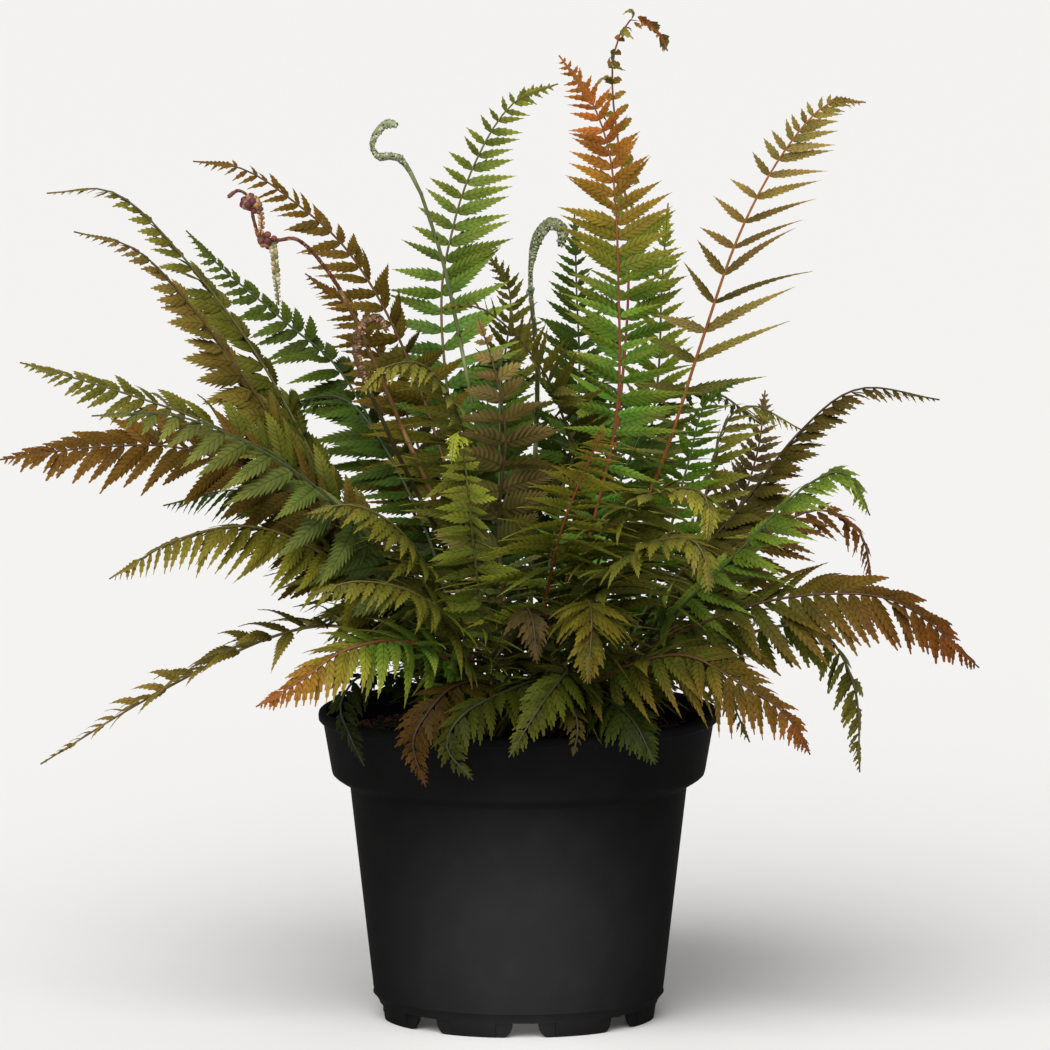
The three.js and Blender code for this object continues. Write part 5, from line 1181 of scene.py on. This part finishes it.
def makeSoil():
    s = soilShape
    middle = s["wall"][-1][1]
    radii = np.linspace(0.01, s["outer"], s["rings"])[1:]
    profile = [(0, s["level"])] + [(radius, s["level"]) for radius in radii] + s["wall"] + [(0, middle)]
    form = spinProfile(profile, s["rounds"])
    for vert in form.verts:
        if vert.co.z > 0.1349:
            vert.co.z = soilHeight(vert.co.x / mm, vert.co.y / mm) * mm
    batch = startBatch()
    shape = readForm(form)
    addCopy(batch, shape, shape["spots"] / mm, np.array(linear(s["colour"])), 0)
    for index in range(s["crumbs"]):
        radius, angle = scattered(s["crumbReach"])
        size = chance.uniform(*s["size"]) * (1 if chance.random() < 0.85 else 1.5)
        radius = min(radius, s["crumbReach"] - 0.5 - size)
        x, y = radius * math.cos(angle), radius * math.sin(angle)
        stretch = np.array([size * chance.uniform(0.8, 1.4), size, size * chance.uniform(0.5, 0.9)])
        turn = Euler((chance.uniform(-0.5, 0.5), chance.uniform(-0.5, 0.5), chance.uniform(0, 6.3)))
        spots = (crumbForm["spots"] * stretch) @ np.array(turn.to_matrix()).T
        addCopy(batch, crumbForm, np.array([x, y, soilHeight(x, y) + size * 0.2]) + spots,
                varied(linear(chance.choice(s["crumbColours"])), 0.25), 0)
    for index in range(s["fibres"]):
        radius, angle = scattered(s["fibreReach"])
        x, y = radius * math.cos(angle), radius * math.sin(angle)
        heading = np.array([math.cos(angle * 7), math.sin(angle * 7), chance.uniform(-0.15, 0.35)])
        layScale(batch, np.array([x, y, soilHeight(x, y) + 0.5]), heading, np.array([0, 0, 1.0]),
                 chance.uniform(*s["fibreLength"]), chance.uniform(*s["fibreWide"]),
                 linear(chance.choice(s["fibreColours"])), 0, 0.25)
    finishPiece("fineSoil", batch, [peat], "soil")


makeSoil()

# Crown: the woody stock, hidden under old scales
crownScales = {"count": 620, "length": [5, 12], "wide": [1.2, 2.8], "wood": "#2b1a10",
               "colours": ["#3b2414", "#5a3a20", "#7a5430", "#9a7044", "#2b1a10"]}


def makeCrown():
    s = crownShape
    profile = [(0, s["foot"]), (s["radius"], s["foot"]), (s["radius"], s["edge"] - 1), (s["radius"] - 0.6, s["edge"]),
               (s["flat"], s["top"]), (s["flat"] - 12, s["top"] + 0.8), (10, s["top"] + 1), (0, s["top"] + 1)]
    shape = readForm(spinProfile(profile, 64))
    batch = startBatch()
    addCopy(batch, shape, shape["spots"] / mm, np.array(linear(crownScales["wood"])), 0)
    for index in range(crownScales["count"]):
        radius, angle = scattered(s["radius"])
        out = np.array([math.cos(angle), math.sin(angle), 0])
        lean = unit(out * chance.uniform(0.2, 1) + np.array([0, 0, chance.uniform(0.4, 1.2)]))
        layScale(batch, out * radius + np.array([0, 0, crownHeight(radius) + 0.2]), lean, out + np.array([0, 0, 0.6]),
                 chance.uniform(*crownScales["length"]), chance.uniform(*crownScales["wide"]),
                 linear(chance.choice(crownScales["colours"])), 1)
    finishPiece("fineCrown", batch, [peat, scaleSkin], "crown")


makeCrown()
print("soil and crown laid")

# Stage, light and camera: a pale paper floor, a pale world and one large soft sun high in front, a little to the
# left. A narrow spot low in front lays the broad highlight on the pot. The camera's place and lens were fitted to
# the pot's lip, collar and foot. Places and sizes are in metres here.
studio = {"floor": "#f7f6f4", "floorHalf": 9, "backdrop": "#ffffff", "world": 0.29,
          "sun": 3.1, "sunTurn": (45, 0, -14), "sunSoft": 55,
          "snoot": 4000, "snootCone": 1.5, "snootSize": 0.03, "snootPlace": (0, -6, 0.34),
          "snootAim": (-0.002, -0.06, 0.046)}
view = {"place": (0.0031, -5.0, 0.88), "target": (0.0031, 0.0, 0.23578), "lens": 363.8, "sensor": 36}


def aimAt(holder, place, target):
    holder.location = place
    holder.rotation_euler = (Vector(target) - Vector(place)).to_track_quat("-Z", "Y").to_euler()


paper, tree, shader = startMaterial("matteFloorPaper", 0.9, 1.45)  # uncoated paper: matt, next to no gloss
shader.inputs["Base Color"].default_value = colour(studio["floor"])
shader.inputs["Specular IOR Level"].default_value = 0.1
form = bmesh.new()
bmesh.ops.create_grid(form, x_segments=1, y_segments=1, size=studio["floorHalf"])
floor = formToObject(form, "studioFloor")
floor.data.materials.append(paper)

world = bpy.data.worlds.new("studioWorld")
bpy.context.scene.world = world
world.use_nodes = True
world.node_tree.nodes["Background"].inputs["Color"].default_value = colour(studio["backdrop"])
world.node_tree.nodes["Background"].inputs["Strength"].default_value = studio["world"]

sun = bpy.data.lights.new("softSun", "SUN")
sun.energy = studio["sun"]
sun.angle = math.radians(studio["sunSoft"])
addObject("softSun", sun).rotation_euler = [math.radians(turn) for turn in studio["sunTurn"]]

snoot = bpy.data.lights.new("potSnoot", "SPOT")
snoot.energy = studio["snoot"]
snoot.spot_size, snoot.spot_blend = math.radians(studio["snootCone"]), 1.0
snoot.shadow_soft_size = studio["snootSize"]
aimAt(addObject("potSnoot", snoot), studio["snootPlace"], studio["snootAim"])

camera = bpy.data.cameras.new("photoCamera")
camera.lens, camera.sensor_width, camera.clip_end = view["lens"], view["sensor"], 50
holder = addObject("photoCamera", camera)
aimAt(holder, view["place"], view["target"])
bpy.context.scene.camera = holder
bpy.context.scene.view_settings.view_transform = "Standard"
print("stage, lights and camera set")

bpy.context.view_layer.update()
print(f"scene complete, {sum(trianglesAdded)} triangles in the grown pieces, {max(trianglesAdded)} in the largest")
